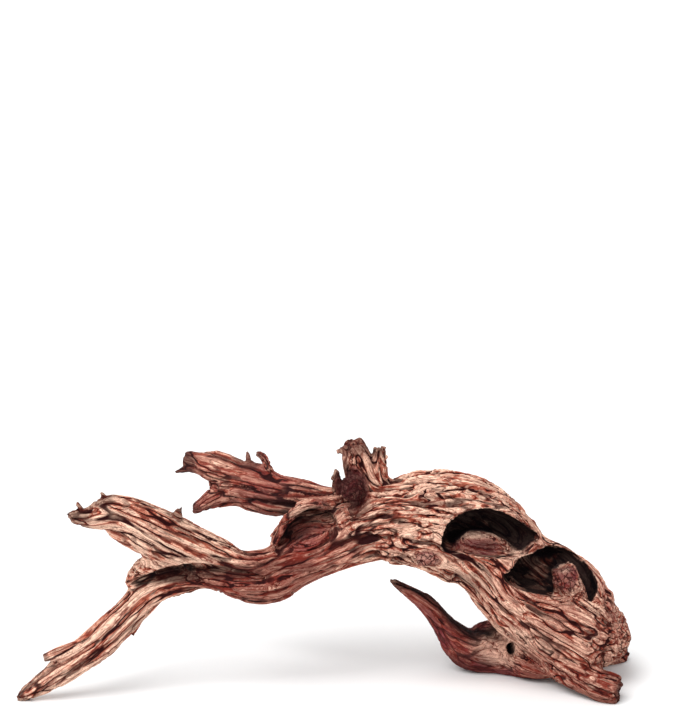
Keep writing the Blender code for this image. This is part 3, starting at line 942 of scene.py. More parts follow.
nearest = kdtree.KDTree(len(coarse_places))
for number, place in enumerate(coarse_places):
    nearest.insert(place, number)
nearest.balance()
ends = rows_of(skin.edges, "vertices", columns=2, kind=np.int64)
neighbours = np.bincount(ends.ravel(), minlength=len(places))


def softened(values, rounds):
    """Each vertex's value, averaged again and again with its neighbours' values."""
    for _ in range(rounds):
        total = np.bincount(ends[:, 0], weights=values[ends[:, 1]], minlength=len(places))
        total += np.bincount(ends[:, 1], weights=values[ends[:, 0]], minlength=len(places))
        values = 0.5 * values + 0.5 * total / neighbours
    return values


openness_here = np.array([coarse_open[nearest.find(place)[1]] for place in places])
openness_here = softened(openness_here, OPENNESS_ROUNDS)
smooth_places = np.stack([softened(places[:, k], MEAN_ROUNDS) for k in range(3)], axis=1)
stands_out = ((places - smooth_places) * normals).sum(axis=1)
print("edges stand out by up to", round(stands_out.max(), 2), "mm")

# %% [markdown]
# ## Ledges, ridges and crevices
#
# The strand noises become relief. The value between two strands is where a noise passes through nought, so
# the size of the noise, without its sign, is a row of rounded ridges with sharp crevices between them. The
# noises also make ledges: a slow rise and a quick drop, as layers of torn wood have. Relief is mostly cut
# in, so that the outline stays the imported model's.

# %% How much relief each part has, and its hue
# part: (ridges, strands, ledges), in mm
RELIEF = {
    "trunk_top": (2.0, 1.2, 1.4),
    "trunk_base": (0.9, 0.9, 0.55),
    "middle_limb": (1.3, 0.9, 0.8),
    "left_root": (1.0, 0.8, 0.5),
    "left_horn": (0.9, 0.9, 0.5),
    "back_branch": (1.0, 0.8, 0.6),
    "back_prong": (0.9, 0.7, 0.4),
    "crown_stub": (1.6, 1.2, 0.8),
    "spur": (0.3, 0.35, 0.1),
    "front_stub": (0.8, 0.9, 0.5),
    "rear_stub": (0.8, 0.8, 0.5),
}
# part: (how tan, how mauve)
HUE_SHARES = {
    "trunk_top": (0.85, 0.02),
    "trunk_base": (0.5, 0.05),
    "middle_limb": (0.0, 0.15),
    "left_root": (0.95, 0.05),
    "left_horn": (1.0, 0.0),
    "back_branch": (0.3, 0.42),
    "back_prong": (0.42, 0.25),
    "crown_stub": (0.35, 0.25),
    "spur": (0.05, 0.85),
    "front_stub": (0.02, 0.05),
    "rear_stub": (0.35, 0.1),
}


def blended(table):
    """A table's values at each vertex, blended between the limbs that are near."""
    weight = np.stack([share_of[name] for name in table], axis=1)
    weight /= weight.sum(axis=1)[:, None]
    value = weight @ np.array(list(table.values()))
    return read_grid(value.reshape(*grid_count, -1), places)


ridge_high, strand_high, ledge_high = blended(RELIEF).T
tan_share, mauve_share = blended(HUE_SHARES).T
print("ridges from", round(ridge_high.min(), 2), "to", round(ridge_high.max(), 2), "mm")

# %% The relief itself
# How far each noise goes before its ridge is at its full height, and how round the ridge's top is
CREST = {"broad": 1.0, "strand": 0.9, "fibre": 0.8}
ROUNDNESS = 0.75
# The ledges: how many to a strand, which noises they follow, and where the rise ends and the drop starts
LEDGES_PER_STRAND = 0.85
LEDGE_BROAD = 0.6
LEDGE_STRAND = 0.35
DROP_FROM = 0.86
# How high the fibres are in mm, and how much of the ridges and ledges lies below the old skin
FIBRE_HIGH = 0.35
RIDGE_BELOW = 0.8
LEDGE_BELOW = 0.7
OUTWARD_SHARE = 0.4
# An edge that stands out by this many mm is thin, and keeps only the rest of its relief
THIN_EDGE_FROM = 0.7
THIN_EDGE_CALM = 0.75


def rounded(values, crest):
    """Ridges of height 1 with sharp crevices where the values pass through nought."""
    return np.minimum(np.abs(values) / crest, 1.0) ** ROUNDNESS


def ledges(values):
    """A slow rise from 0 to 1 and a quick drop."""
    rise = (values * LEDGES_PER_STRAND) % 1.0
    return np.where(rise < DROP_FROM, rise / DROP_FROM, (1.0 - rise) / (1.0 - DROP_FROM))


strand_form = rounded(strand, CREST["strand"])
ledge_form = ledges(broad * LEDGE_BROAD + strand * LEDGE_STRAND)
depth = ridge_high * (rounded(broad, CREST["broad"]) - RIDGE_BELOW)
depth += strand_high * (strand_form - RIDGE_BELOW) + ledge_high * (ledge_form - LEDGE_BELOW)
depth += FIBRE_HIGH * (rounded(fibre, CREST["fibre"]) - RIDGE_BELOW)
thin_edge = np.clip((stands_out - THIN_EDGE_FROM) / THIN_EDGE_FROM, 0.0, 1.0)
depth *= 1.0 - THIN_EDGE_CALM * thin_edge
depth = np.where(depth > 0, OUTWARD_SHARE * depth, depth)
print("relief from", round(depth.min(), 2), "to", round(depth.max(), 2), "mm")

# %% [markdown]
# ## Rough places without grain
#
# A burl, a knot and a broken end show no strands. They get a lumpy noise in place of the grain.

# %% Burl, knot and broken ends
# place: (centre, radii, size of the lumps in mm, height in mm)
ROUGH_PLACES = {
    "burl": ((11, 8, 89), (8.5, 8, 9.5), 2.0, 0.9),
    "knot": ((41.5, 5, 61), (6, 6, 4.5), 1.6, 0.6),
    "chunk": ((99, 8, 52), (8, 8, 7), 2.0, 0.9),
    "trunk end": ((125, 28, 24), (8, 20, 16), 2.2, 0.8),
}
# Where the lumps' noise starts, how high it counts, how much of it lies below the old skin, and where a
# lump is as pale as a ridge
LUMP_OFFSET = 11.3
LUMP_TOP = 1.2
LUMP_BELOW = 0.8
LUMP_CREST = 0.7
# How far a soft spot reaches and how wide its border is, in its own radii
SPOT_REACH = 1.15
SPOT_BORDER = 0.4


def within(reach, border, away):
    """1 where a place lies well within a reach and 0 beyond it, with a soft border."""
    return np.clip((reach - away) / border, 0.0, 1.0)


def nearness(centre, radii):
    """1 in the middle of a place and 0 outside it."""
    away = np.linalg.norm((places - np.array(centre)) / np.array(radii), axis=1)
    return within(SPOT_REACH, SPOT_BORDER, away)


rough = np.zeros(len(places))
for centre, radii, lump, height in ROUGH_PLACES.values():
    here = nearness(centre, radii)
    lumps = np.abs(levelled(cloud_at(places, lump, LUMP_OFFSET)))
    depth = depth * (1 - here) + here * height * (np.minimum(lumps, LUMP_TOP) - LUMP_BELOW)
    strand_form = strand_form * (1 - here) + here * np.minimum(lumps / LUMP_CREST, 1.0)
    rough = np.maximum(rough, here)
print("rough places:", ", ".join(ROUGH_PLACES))

# %% [markdown]
# ## Stains, painted shade and painted highlights
#
# Some places have a hue of their own: the tongue and the ear's folds are mauve and the wall of the lower
# hollow is rusty. The lips of the hollows are pale, partly by wear and partly by a painted highlight. Some
# corners, grooves and undersides are darker with painted shade, while the burl is dark of its own. Each is
# a soft spot, and all spots of one hue share one measure.

# %% Mauve and rusty places
# place: (centre, radii, how strong)
MAUVE_STAINS = {
    "tongue": ((62, 9, 65), (12, 7, 5), 0.8),
    "broken chunk": ((98, 7, 53), (6, 7, 7), 0.75),
    "ear's folds": ((-8, 12, 69), (12, 9, 9), 0.5),
    "ear's root": ((1, 16, 82), (9, 8, 5), 0.6),
    "burl": ((11, 12, 89), (8, 9, 10), 0.9),
    "trunk's end": ((118, 26, 36), (7, 16, 12), 0.35),
    "knot": ((42, 5, 61), (6, 8, 4.5), 0.8),
}
RUST_STAINS = {
    "lower hollow's wall": ((79, 12, 55), (6, 8, 7), 0.9),
    "under the middle limb": ((-20, 8, 45), (20, 12, 6), 0.6),
    "under the root's bend": ((-70, 8, 30), (12, 8, 6), 0.5),
    "front stub": ((111, 8, 6), (16, 12, 8), 0.75),
    "spur's bend": ((56, 40, 8), (9, 12, 8), 0.5),
    "under the knot": ((54, 4, 50), (12, 9, 4), 0.35),
}
print(len(MAUVE_STAINS), "mauve places and", len(RUST_STAINS), "rusty places")

# %% Pale places with painted highlights, and dark places with painted shade
# place: (centre, radii, how strong)
# Mostly the wood's own bleached tone; on the rims and tops of lips and of the chunk, also painted highlight
PALE_STAINS_AND_HIGHLIGHTS = {
    "upper hollow's lower rim": ((60, 8, 71), (13, 7, 2.2), 0.7),
    "round the knot hole": ((72, 26, 17), (12, 16, 13), 0.55),
    "trunk's base": ((85, 6, 24), (14, 16, 8), 0.35),
    "over the lip's groove": ((-60, 2, 60.5), (22, 6, 2.6), 0.7),
    "round the knot": ((40, 4, 60), (20, 10, 4), 0.25),
    "between the hollows": ((79, 8, 62), (5, 6, 2), 0.6),
    "broken chunk's top": ((97, 5, 57), (5, 5, 2.5), 0.5),
    "ear's rim": ((-8, 9, 79.5), (14, 7, 3), 0.7),
    "root's end": ((-108, 6, 14), (16, 8, 12), 0.4),
    "horn": ((-82, 0, 74), (24, 10, 12), 0.22),
}
# The burl's dark is its own; the other dark spots, in folds, grooves and undersides, are painted shade
DARK_SPOTS_AND_PAINTED_SHADE = {
    "burl": ((11, 9, 88), (8, 9, 11), 0.75),
    "under the tongue": ((56, 6, 50), (14, 11, 6), 0.35),
    "tongue": ((62, 9, 65), (15, 8, 6.5), 0.42),
    "broken chunk": ((98, 8, 52), (6, 7, 8), 0.3),
    "front stub's foot": ((111, 8, 4), (16, 12, 8), 0.2),
    "prong's end": ((-58, 53, 86), (10, 6, 10), 0.35),
    "behind the ear": ((-14, 30, 76), (14, 10, 8), 0.3),
    "tongue's middle": ((65, 10, 66), (6, 6, 3), 0.6),
    "spur's bend": ((62, 40, 6), (14, 14, 6), 0.45),
    "lip's groove by the horn": ((-42, 4, 55.5), (20, 6, 3), 0.75),
    "lip's groove by the ear": ((-14, 6, 58), (14, 6, 3), 0.5),
    "lip's groove by the root": ((-62, 7, 53.5), (15, 8, 3.6), 0.8),
}
STAINS_AND_PAINTED_LIGHT = {"mauve": MAUVE_STAINS, "rust": RUST_STAINS, "pale": PALE_STAINS_AND_HIGHLIGHTS, "dark": DARK_SPOTS_AND_PAINTED_SHADE}


def spot_strength(spots):
    """How strong the soft spots are at each vertex."""
    strength = np.zeros(len(places))
    for centre, radii, strong in spots.values():
        strength = np.maximum(strength, strong * nearness(centre, radii))
    return strength


stains_and_painted_light = {hue: spot_strength(spots) for hue, spots in STAINS_AND_PAINTED_LIGHT.items()}
stains_and_painted_light["mauve"] = np.maximum(mauve_share, stains_and_painted_light["mauve"])
print("hues:", ", ".join(STAINS_AND_PAINTED_LIGHT))

# %% The walls of the hollows, which lie in the dark and get painted shade
HOLLOW_PAINTED_SHADE = {"upper_hollow": 0.97, "lower_hollow": 0.97, "ear_hollow": 0.4, "lip_groove": 0.85}
# Places in the hollows that light reaches, which are left out of the painted shade
LIT_IN_HOLLOWS = {
    "broken chunk": ((98.5, 9, 48), (7, 6, 10), 0.9),
    "tongue": ((64, 9, 65), (14, 6, 6.5), 0.9),
    "rusty wall": ((79, 8, 54), (5, 7, 8), 0.6),
}
# How far out a hollow's painted shade and its calm rim reach, and the width of their borders, in hollow
# radii
DARK_REACH = 1.13
DARK_BORDER = 0.1
CALM_REACH = 1.45
CALM_BORDER = 0.3
CALM_AT_RIM = 0.75
# A wall this open is at the mouth and gets no painted shade
OPEN_AT_MOUTH = 0.84
MOUTH_BORDER = 0.12
HOLLOW_STEP = 0.9
FAR = 9.0


def from_middle(stations):
    """How far each point lies from the middle of a hollow: 1 is on its wall."""
    closest = np.full(len(places), FAR)
    for middle, wide, deepways, _ in smooth_rings(stations, HOLLOW_STEP):
        away = (places - np.array(middle[:])) / (wide, deepways, wide)
        closest = np.minimum(closest, np.linalg.norm(away, axis=1))
    return closest


deep = np.zeros(len(places))
for name, share in HOLLOW_PAINTED_SHADE.items():
    closest = from_middle(HOLLOWS[name][0])
    deep = np.maximum(deep, share * within(DARK_REACH, DARK_BORDER, closest))
    depth *= 1.0 - CALM_AT_RIM * within(CALM_REACH, CALM_BORDER, closest)
deep *= 1.0 - spot_strength(LIT_IN_HOLLOWS)
deep *= within(OPEN_AT_MOUTH, MOUTH_BORDER, openness_here)
print("in the dark:", int((deep > 0.5).sum()), "vertices")

# %% Torn ends, which are darker than the wood that they were torn from
# end: (centre, how far the dark reaches)
TORN_ENDS = {
    "horn": ((-101, -5, 82), 9),
    "horn's tear": ((-89, -4, 91), 6),
    "horn's thorn": ((-58, -1, 84), 6),
    "crown": ((12, 22, 107), 9),
    "crown's finger": ((22.5, 22, 105), 6),
    "crown's spike": ((5, 16, 93), 8),
    "prong": ((-61, 54, 87), 9),
    "branch's spike": ((-32, 46, 93), 7),
    "branch": ((-56, 51, 68), 5),
    "root's finger": ((-116, 2, 19), 4),
    "root's sliver": ((-115, 8, 12), 5),
    "root": ((-126, 6, 1), 4.5),
    "front stub": ((122, 3, 5), 6),
    "rear stub": ((128, 58, 3), 7),
    "spur": ((29, 36, 42), 6),
}
torn = np.zeros(len(places))
for centre, reach in TORN_ENDS.values():
    torn = np.maximum(torn, nearness(centre, (reach, reach, reach)))
print(len(TORN_ENDS), "torn ends")

# %% Every measure, kept on the skin's vertices
EDGE_FULL = 1.4
FLOOR_NEAR = 0.02
measures = {
    "crevice": np.clip(strand_form, 0.0, 1.0),
    "ledge": ledge_form,
    "openness": np.clip(openness_here, 0.0, 1.0),
    "edge": np.clip(stands_out / EDGE_FULL, -1.0, 1.0),
    "tan": tan_share,
    "rough": rough,
    "torn": torn,
    "deep": deep,
    **stains_and_painted_light,
}
faces_down = normals[:, 2] < -0.5
depth[faces_down & (places[:, 2] < FLOOR_NEAR)] = 0.0


def keep(name, kind, field, values):
    """Keeps a value for each of the skin's vertices, under a name."""
    skin.attributes.new(name, kind, "POINT").data.foreach_set(field, values.astype(np.float32).ravel())


for name, values in measures.items():
    keep(name, "FLOAT", "value", values)
keep("grain", "FLOAT_VECTOR", "vector", np.stack([broad, strand, fibre], axis=1))
keep("move", "FLOAT_VECTOR", "vector", normals * depth[:, None])
print("kept", len(skin.attributes), "attributes")

# %% [markdown]
# ## Parting the wood at its forks
#
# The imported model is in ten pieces, so the looks are too. A plane cuts the skin at each fork, close by the
# fork only. Two cuts a hair apart leave a thin band between them, which is taken out, and the two open
# ends are closed. The operators carry the kept measures over to the new points.

# %% Finding what hangs together
def connected(items, neighbours_of):
    """Sorts items into groups that hang together, in a fixed order."""
    left = dict.fromkeys(items)
    groups = []
    while left:
        first = next(iter(left))
        del left[first]
        group = [first]
        for item in group:
            for other in neighbours_of(item):
                if other in left:
                    del left[other]
                    group.append(other)
        groups.append(group)
    return groups


def closed_loops(edges):
    """The edges of those loops that close on themselves."""
    loops = connected(edges, lambda edge: [e for v in edge.verts for e in v.link_edges])

    def closes(loop):
        here = set(loop)
        return all(sum(e in here for e in v.link_edges) == 2 for edge in loop for v in edge.verts)

    return [edge for loop in loops if closes(loop) for edge in loop]


print("two helpers for the saw")

# %% The saw
def cut_once(shape, faces, place, ahead):
    """Cuts the faces by a plane, and returns the cut's edges where they make closed loops."""
    near = dict.fromkeys(faces)
    near.update(dict.fromkeys(g for f in faces for g in [*f.edges, *f.verts]))
    cut = bmesh.ops.bisect_plane(shape, geom=list(near), dist=HAIR, plane_co=place, plane_no=ahead)
    return closed_loops([g for g in cut["geom_cut"] if isinstance(g, bmesh.types.BMEdge)])


def band_between(walls, place, ahead):
    """All the faces between two cuts, found from the faces beside the cuts."""

    def in_gap(face):
        return abs((face.calc_center_median() - place).dot(ahead)) < SAW_GAP / 2

    band = dict.fromkeys(f for e in walls for f in e.link_faces if in_gap(f))
    found = list(band)
    for face in found:
        for other in [f for e in face.edges if e not in walls for f in e.link_faces]:
            if other not in band:
                band[other] = None
                found.append(other)
    return found


def saw(shape, place, ahead, reach):
    """Parts one limb from the rest at a place by a straight cut of the width of the saw gap."""
    place = Vector(place)
    ahead = Vector(ahead).normalized()
    walls = {}
    for side in (-0.5, 0.5):
        near = [f for f in shape.faces if (f.calc_center_median() - place).length < reach]
        walls.update(dict.fromkeys(cut_once(shape, near, place + ahead * SAW_GAP * side, ahead)))
    bmesh.ops.delete(shape, geom=band_between(walls, place, ahead), context="FACES")
    open_edges = [e for e in shape.edges if e.is_boundary]
    closed = bmesh.ops.holes_fill(shape, edges=open_edges, sides=0)["faces"]
    for edge in open_edges:
        edge.smooth = False
    return bmesh.ops.triangulate(shape, faces=closed)["faces"]


shape = bmesh.new()
shape.from_mesh(skin)
for face in shape.faces:
    face.smooth = True
for name, (place, ahead, reach) in FORKS.items():
    caps = saw(shape, place, ahead, reach)
    for face in caps:
        face.smooth = False
    print(name, "parted with", len(caps), "triangles at its ends")

# %% The ten pieces
# Every seventh face of a group is enough to tell how near the group is
FACE_STRIDE = 7


def whose(groups):
    """The group of faces in which each named end lies."""

    def distance(group, end):
        return min((f.calc_center_median() - Vector(end)).length for f in group[::FACE_STRIDE])

    return {name: min(groups, key=lambda group: distance(group, end)) for name, end in ENDS.items()}


number_of = shape.faces.layers.int.new("piece")
groups = connected(shape.faces, lambda face: [f for e in face.edges for f in e.link_faces])
for number, faces in enumerate(whose(groups).values(), start=1):
    for face in faces:
        face[number_of] = number
print(len(groups), "groups of faces, the largest of", max(len(g) for g in groups), "faces")

# %% Each piece as an object in metres, with its relief
def take_out(name, number):
    """One piece as an object of its own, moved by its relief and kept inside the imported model's box."""
    piece = shape.copy()
    layer = piece.faces.layers.int["piece"]
    bmesh.ops.delete(piece, geom=[f for f in piece.faces if f[layer] != number], context="FACES")
    bmesh.ops.triangulate(piece, faces=[f for f in piece.faces if len(f.verts) > 4])
    made = put(name + "_wood", piece)
    moves = made.data.attributes["move"]
    spots = rows_of(made.data.vertices, "co") + rows_of(moves.data, "vector")
    spots = np.clip((spots - np.array(FOOTPRINT_MIDDLE)) * MM, *CAD_BOX)
    made.data.vertices.foreach_set("co", spots.ravel())
    made.data.attributes.remove(moves)
    made.data.update()
    return made


made_pieces = {name: take_out(name, number) for number, name in enumerate(ENDS, start=1)}
shape.free()
bpy.data.objects.remove(wood)
for name, made in made_pieces.items():
    print(name, len(made.data.polygons), "faces")

# %% [markdown]
# ## The finish of weathered wood
#
# All the wood has one finish, with parts that are more tan, more brown or more mauve. It is a node group,
# so that each material can place it with its own values. The group reads the measures kept on the mesh.
# The three strand numbers are also a place in a noise of their own: points on one fibre have the same
# three numbers, so a noise read there gives streaks much finer than the mesh, and they follow the grain.

# %% Colours, from 0 to 255 as a paint program shows them
def paint(red, green, blue):
    """A colour of light for the renderer, from the numbers of a paint program."""
    straight = [c / 255 for c in (red, green, blue)]
    return (*[c / 12.92 if c <= 0.04045 else ((c + 0.055) / 1.055) ** 2.4 for c in straight], 1.0)


PAINTS = {
    "Tan": paint(220, 126, 98),
    "Brown": paint(130, 50, 40),
    "Mauve": paint(122, 50, 58),
    "Rust": paint(126, 42, 30),
    # painted shade in crevices, under ledges and in cracks, and the own dark of torn ends and the burl
    "Crevice Shade and Dark": paint(40, 6, 7),
    # worn pale wood, and also the painted highlight on the tops of strands and on rims
    "Worn and Highlight": paint(255, 213, 187),
    # the colour of painted shade, in the hollows and wherever few rays get away
    "Hollow Shade": paint(12, 4, 7),
}
print("tan in linear light:", [round(c, 2) for c in PAINTS["Tan"][:3]])

# %% Helpers for node trees
# Where a Mix node for colours has its sockets
MIX_SHARE, MIX_FIRST, MIX_SECOND, MIX_RESULT = 0, 6, 7, 2


def add_node(tree, kind, **settings):
    """A node with its settings; a setting that names an input sets that input."""
    made = tree.nodes.new(kind)
    for name, value in settings.items():
        if hasattr(made, name):
            setattr(made, name, value)
        else:
            made.inputs[name.replace("_", " ")].default_value = value
    return made


def feed(tree, value, socket):
    """Links a socket, or sets a plain value."""
    if isinstance(value, bpy.types.NodeSocket):
        tree.links.new(value, socket)
    else:
        socket.default_value = value


def worked_out(tree, operation, *values, clamp=False):
    """What a Math node makes of its values."""
    made = add_node(tree, "ShaderNodeMath", operation=operation, use_clamp=clamp)
    for number, value in enumerate(values):
        feed(tree, value, made.inputs[number])
    return made.outputs[0]


def times(tree, result, *others):
    """All the values multiplied."""
    for value in others:
        result = worked_out(tree, "MULTIPLY", result, value)
    return result


def most(tree, result, *others):
    """The largest of all the values."""
    for value in others:
        result = worked_out(tree, "MAXIMUM", result, value)
    return result


def mixed(tree, share, first, second):
    """The first colour, with a share of the second mixed in."""
    made = add_node(tree, "ShaderNodeMix", data_type="RGBA")
    for number, value in {MIX_SHARE: share, MIX_FIRST: first, MIX_SECOND: second}.items():
        feed(tree, value, made.inputs[number])
    return made.outputs[MIX_RESULT]


print("helpers to add, feed, multiply, compare and mix")

# %% Spans, which turn one measure into another
def stretched(tree, value, low, high, at_low, at_high):
    """A value from low to high, turned smoothly into one between the two others."""
    made = add_node(tree, "ShaderNodeMapRange", interpolation_type="SMOOTHSTEP")
    for number, limit in enumerate((value, low, high, at_low, at_high)):
        feed(tree, limit, made.inputs[number])
    return made.outputs[0]


# span: (where it starts, where it ends, value at its start, value at its end)
SPANS = {
    "rusty streak": (0.5, 0.64, 0.0, 0.85),
    "pale streak": (0.49, 0.34, 0.0, 0.8),
    "dark streak": (0.5, 0.3, 0.0, 1.0),
    "rust on mauve": (0.4, 0.85, 1.0, 0.35),
    "pale on mauve": (0.0, 0.8, 1.0, 0.25),
    "pale on tan": (0.0, 0.9, 0.2, 1.0),
    # the tops of strands and fibres get a painted highlight
    "strand's top": (0.5, 1.1, 0.0, 0.9),
    "fibre's top": (0.65, 1.3, 0.0, 0.75),
    "worn edge": (0.4, 0.9, 0.0, 0.65),
    "broad line fades": (0.38, 0.58, 0.5, 1.0),
    "strand line fades": (0.62, 0.42, 0.5, 1.0),
    "fibre line fades": (0.38, 0.58, 0.35, 1.0),
    "hair line": (0.045, 0.008, 0.0, 0.6),
    "lines on mauve": (0.5, 0.95, 1.0, 0.5),
    "lines on pale": (0.2, 0.7, 1.0, 0.35),
    "crack": (0.45, 0.08, 0.0, 0.9),
    "web": (0.17, 0.04, 0.0, 0.95),
    "web fades": (0.4, 0.52, 0.3, 1.0),
    # painted shade just below each ledge's drop
    "under a ledge": (0.2, 0.0, 0.0, 0.75),
    "torn end": (0.0, 1.0, 0.0, 0.6),
    # painted shade where few rays get away
    "shade": (0.62, 0.3, 0.0, 1.0),
    "roughness": (0.3, 0.7, 0.9, 0.62),
}


def span(tree, value, name):
    """A value stretched over one of the named spans."""
    return stretched(tree, value, *SPANS[name])


print(len(SPANS), "spans")

# %% What the finish reads at each point
# streaks: (how fine they are across the grain, detail)
STREAKS = {"broad streaks": (0.9, 2.0), "streaks": (1.6, 3.0), "fine streaks": (4.0, 2.0)}
STREAK_ROUGHNESS = 0.6
FIBRE_SHARE = 0.5
# noise: (lumps per metre, detail, roughness)
NOISES = {"patch": (60.0, 3.0, 0.55), "grit": (900.0, 2.0, 0.6)}
CELLS_PER_METRE = 430.0


def noise_at(tree, place, scale, detail, roughness):
    """A noise, read at a place."""
    made = add_node(tree, "ShaderNodeTexNoise", Scale=scale, Detail=detail, Roughness=roughness)
    tree.links.new(place, made.inputs["Vector"])
    return made.outputs[0]


def streaks(tree, grain, fineness, detail):
    """Noise that follows the grain."""
    wide = add_node(tree, "ShaderNodeVectorMath", operation="MULTIPLY")
    feed(tree, grain, wide.inputs[0])
    feed(tree, (fineness, fineness, FIBRE_SHARE * fineness), wide.inputs[1])
    return noise_at(tree, wide.outputs[0], 1.0, detail, STREAK_ROUGHNESS)


def readings(tree):
    """All that the finish reads at a point: the kept measures, the strands, streaks and noises."""
    read = {}
    for name in measures:
        read[name] = add_node(tree, "ShaderNodeAttribute", attribute_name=name).outputs["Fac"]
    grain = add_node(tree, "ShaderNodeAttribute", attribute_name="grain").outputs["Vector"]
    apart = add_node(tree, "ShaderNodeSeparateXYZ")
    tree.links.new(grain, apart.inputs[0])
    for name, way in zip(WALKS, apart.outputs):
        read[name] = worked_out(tree, "ABSOLUTE", way)
    for name, (fineness, detail) in STREAKS.items():
        read[name] = streaks(tree, grain, fineness, detail)
    spot = add_node(tree, "ShaderNodeTexCoord").outputs["Object"]
    for name, settings in NOISES.items():
        read[name] = noise_at(tree, spot, *settings)
    cells = add_node(tree, "ShaderNodeTexVoronoi", feature="DISTANCE_TO_EDGE", Scale=CELLS_PER_METRE)
    tree.links.new(spot, cells.inputs["Vector"])
    read["cell's edge"] = cells.outputs["Distance"]
    return read


print("the finish reads", len(measures) + len(WALKS) + len(STREAKS) + len(NOISES) + 1, "values")

# %% Where the wood is tan and where it is mauve
PATCHES_WANDER = 1.0
STREAKS_WANDER = 1.8
# How soon mauve is full
MAUVE_STRENGTH = 1.5


def wander(tree, value, amount):
    """A noise from 0 to 1, turned into one round nought that is the amount wide."""
    return worked_out(tree, "MULTIPLY_ADD", value, amount, -0.5 * amount)


def hues(tree, read):
    """The shares of tan and of mauve, whose borders wander."""
    by_patch = wander(tree, read["patch"], PATCHES_WANDER)
    by_streak = wander(tree, read["broad streaks"], STREAKS_WANDER)
    shift = worked_out(tree, "ADD", by_patch, by_streak)
    tan = worked_out(tree, "ADD", read["tan"], shift, clamp=True)
    mauve = worked_out(tree, "SUBTRACT", read["mauve"], shift, clamp=True)
    return tan, worked_out(tree, "MULTIPLY", times(tree, mauve, read["mauve"]), MAUVE_STRENGTH, clamp=True)


print("borders wander by up to", 0.5 * (PATCHES_WANDER + STREAKS_WANDER))

# %% Painted shade in the lines between the strands
# line: (where it starts, as a share of the crevice width, where it is full, how dark, what it fades with)
LINES = {
    "broad": (0.75, 0.14, 1.0, "patch"),
    "strand": (1.0, 0.16, 1.0, "patch"),
    "fibre": (1.1, 0.12, 0.9, "broad streaks"),
}
STREAK_MIDDLE = 0.5


def crevice_line(tree, read, name, width):
    """The painted shade in the line between two strands, which fades in and out along the grain."""
    start, full, strength, faded_by = LINES[name]
    line = stretched(tree, read[name], times(tree, width, start), full, 0.0, strength)
    return times(tree, line, span(tree, read[faded_by], name + " line fades"))


def fine_lines(tree, read, width):
    """Painted shade in the lines between fibres, and hair lines where a streak passes its middle."""
    off_middle = worked_out(tree, "ABSOLUTE", worked_out(tree, "SUBTRACT", read["streaks"], STREAK_MIDDLE))
    hair = span(tree, off_middle, "hair line")
    return most(tree, crevice_line(tree, read, "fibre", width), hair)


def deep_lines(tree, read, width):
    """Painted shade in the crevices and under the ledges on even wood, and in the cracks of the rough
    places.
    """
    even = times(
        tree,
        worked_out(tree, "SUBTRACT", 1.0, read["rough"]),
        span(tree, read["mauve"], "lines on mauve"),
        span(tree, read["pale"], "lines on pale"),
    )
    painted_crevice_shade = most(tree, *[crevice_line(tree, read, name, width) for name in ("broad", "strand")])
    web = times(tree, span(tree, read["cell's edge"], "web"), span(tree, read["streaks"], "web fades"))
    cracks = times(tree, most(tree, span(tree, read["crevice"], "crack"), web), read["rough"])
    painted_shade_under_ledge = times(tree, span(tree, read["ledge"], "under a ledge"), even)
    return most(tree, times(tree, painted_crevice_shade, even), cracks, painted_shade_under_ledge)


print("lines:", ", ".join(LINES))

# %% The coats of colour, from the lowest to the topmost
# How much of the crevices' painted shade a fine line has
FINE_LINE_DARK = 0.45


def coats(tree, read, given, fine, deep):
    """(share, colour) of each coat that lies over the brown."""
    tan, mauve = hues(tree, read)
    pale_share = times(tree, span(tree, read["mauve"], "pale on mauve"), span(tree, tan, "pale on tan"))
    rust_share = span(tree, read["mauve"], "rust on mauve")
    rusty = times(tree, span(tree, read["streaks"], "rusty streak"), rust_share)
    painted_highlight_on_tops = most(tree, span(tree, read["strand"], "strand's top"), span(tree, read["fibre"], "fibre's top"))
    dark_streak = times(tree, span(tree, read["fine streaks"], "dark streak"), given["Streak Strength"])
    return [
        (tan, given["Tan"]),
        (mauve, given["Mauve"]),
        (read["rust"], given["Rust"]),
        (rusty, given["Rust"]),
        (times(tree, span(tree, read["streaks"], "pale streak"), pale_share), given["Worn and Highlight"]),
        # painted highlight on the tops of strands and fibres
        (times(tree, painted_highlight_on_tops, pale_share), given["Worn and Highlight"]),
        # pale spots: bleached tone, and painted highlight on rims and tops
        (read["pale"], given["Worn and Highlight"]),
        (dark_streak, given["Rust"]),
        # fine lines between fibres, partly painted shade
        (fine, mixed(tree, FINE_LINE_DARK, given["Rust"], given["Crevice Shade and Dark"])),
        # painted shade in the crevices, under the ledges and in the cracks
        (deep, given["Crevice Shade and Dark"]),
        (times(tree, span(tree, read["edge"], "worn edge"), pale_share), given["Worn and Highlight"]),
        (span(tree, read["torn"], "torn end"), given["Crevice Shade and Dark"]),
        # dark spots: the burl's own dark, and painted shade in folds, grooves and undersides
        (read["dark"], given["Crevice Shade and Dark"]),
        # painted shade: darker where few rays get away, and on the walls of the hollows
        (most(tree, span(tree, read["openness"], "shade"), read["deep"]), given["Hollow Shade"]),
    ]


print("each coat lies over the ones before it")

# %% The weathered wood group
SOCKETS = [(name, "INPUT", "Color", colour) for name, colour in PAINTS.items()]
SOCKETS += [("Crevice Width", "INPUT", "Float", 0.5), ("Streak Strength", "INPUT", "Float", 0.5)]
SOCKETS += [("Color", "OUTPUT", "Color", None), ("Roughness", "OUTPUT", "Float", None)]
SOCKETS += [("Height", "OUTPUT", "Float", None)]
# How high a streak stands beside the grit
STREAK_HEIGHT = 0.8


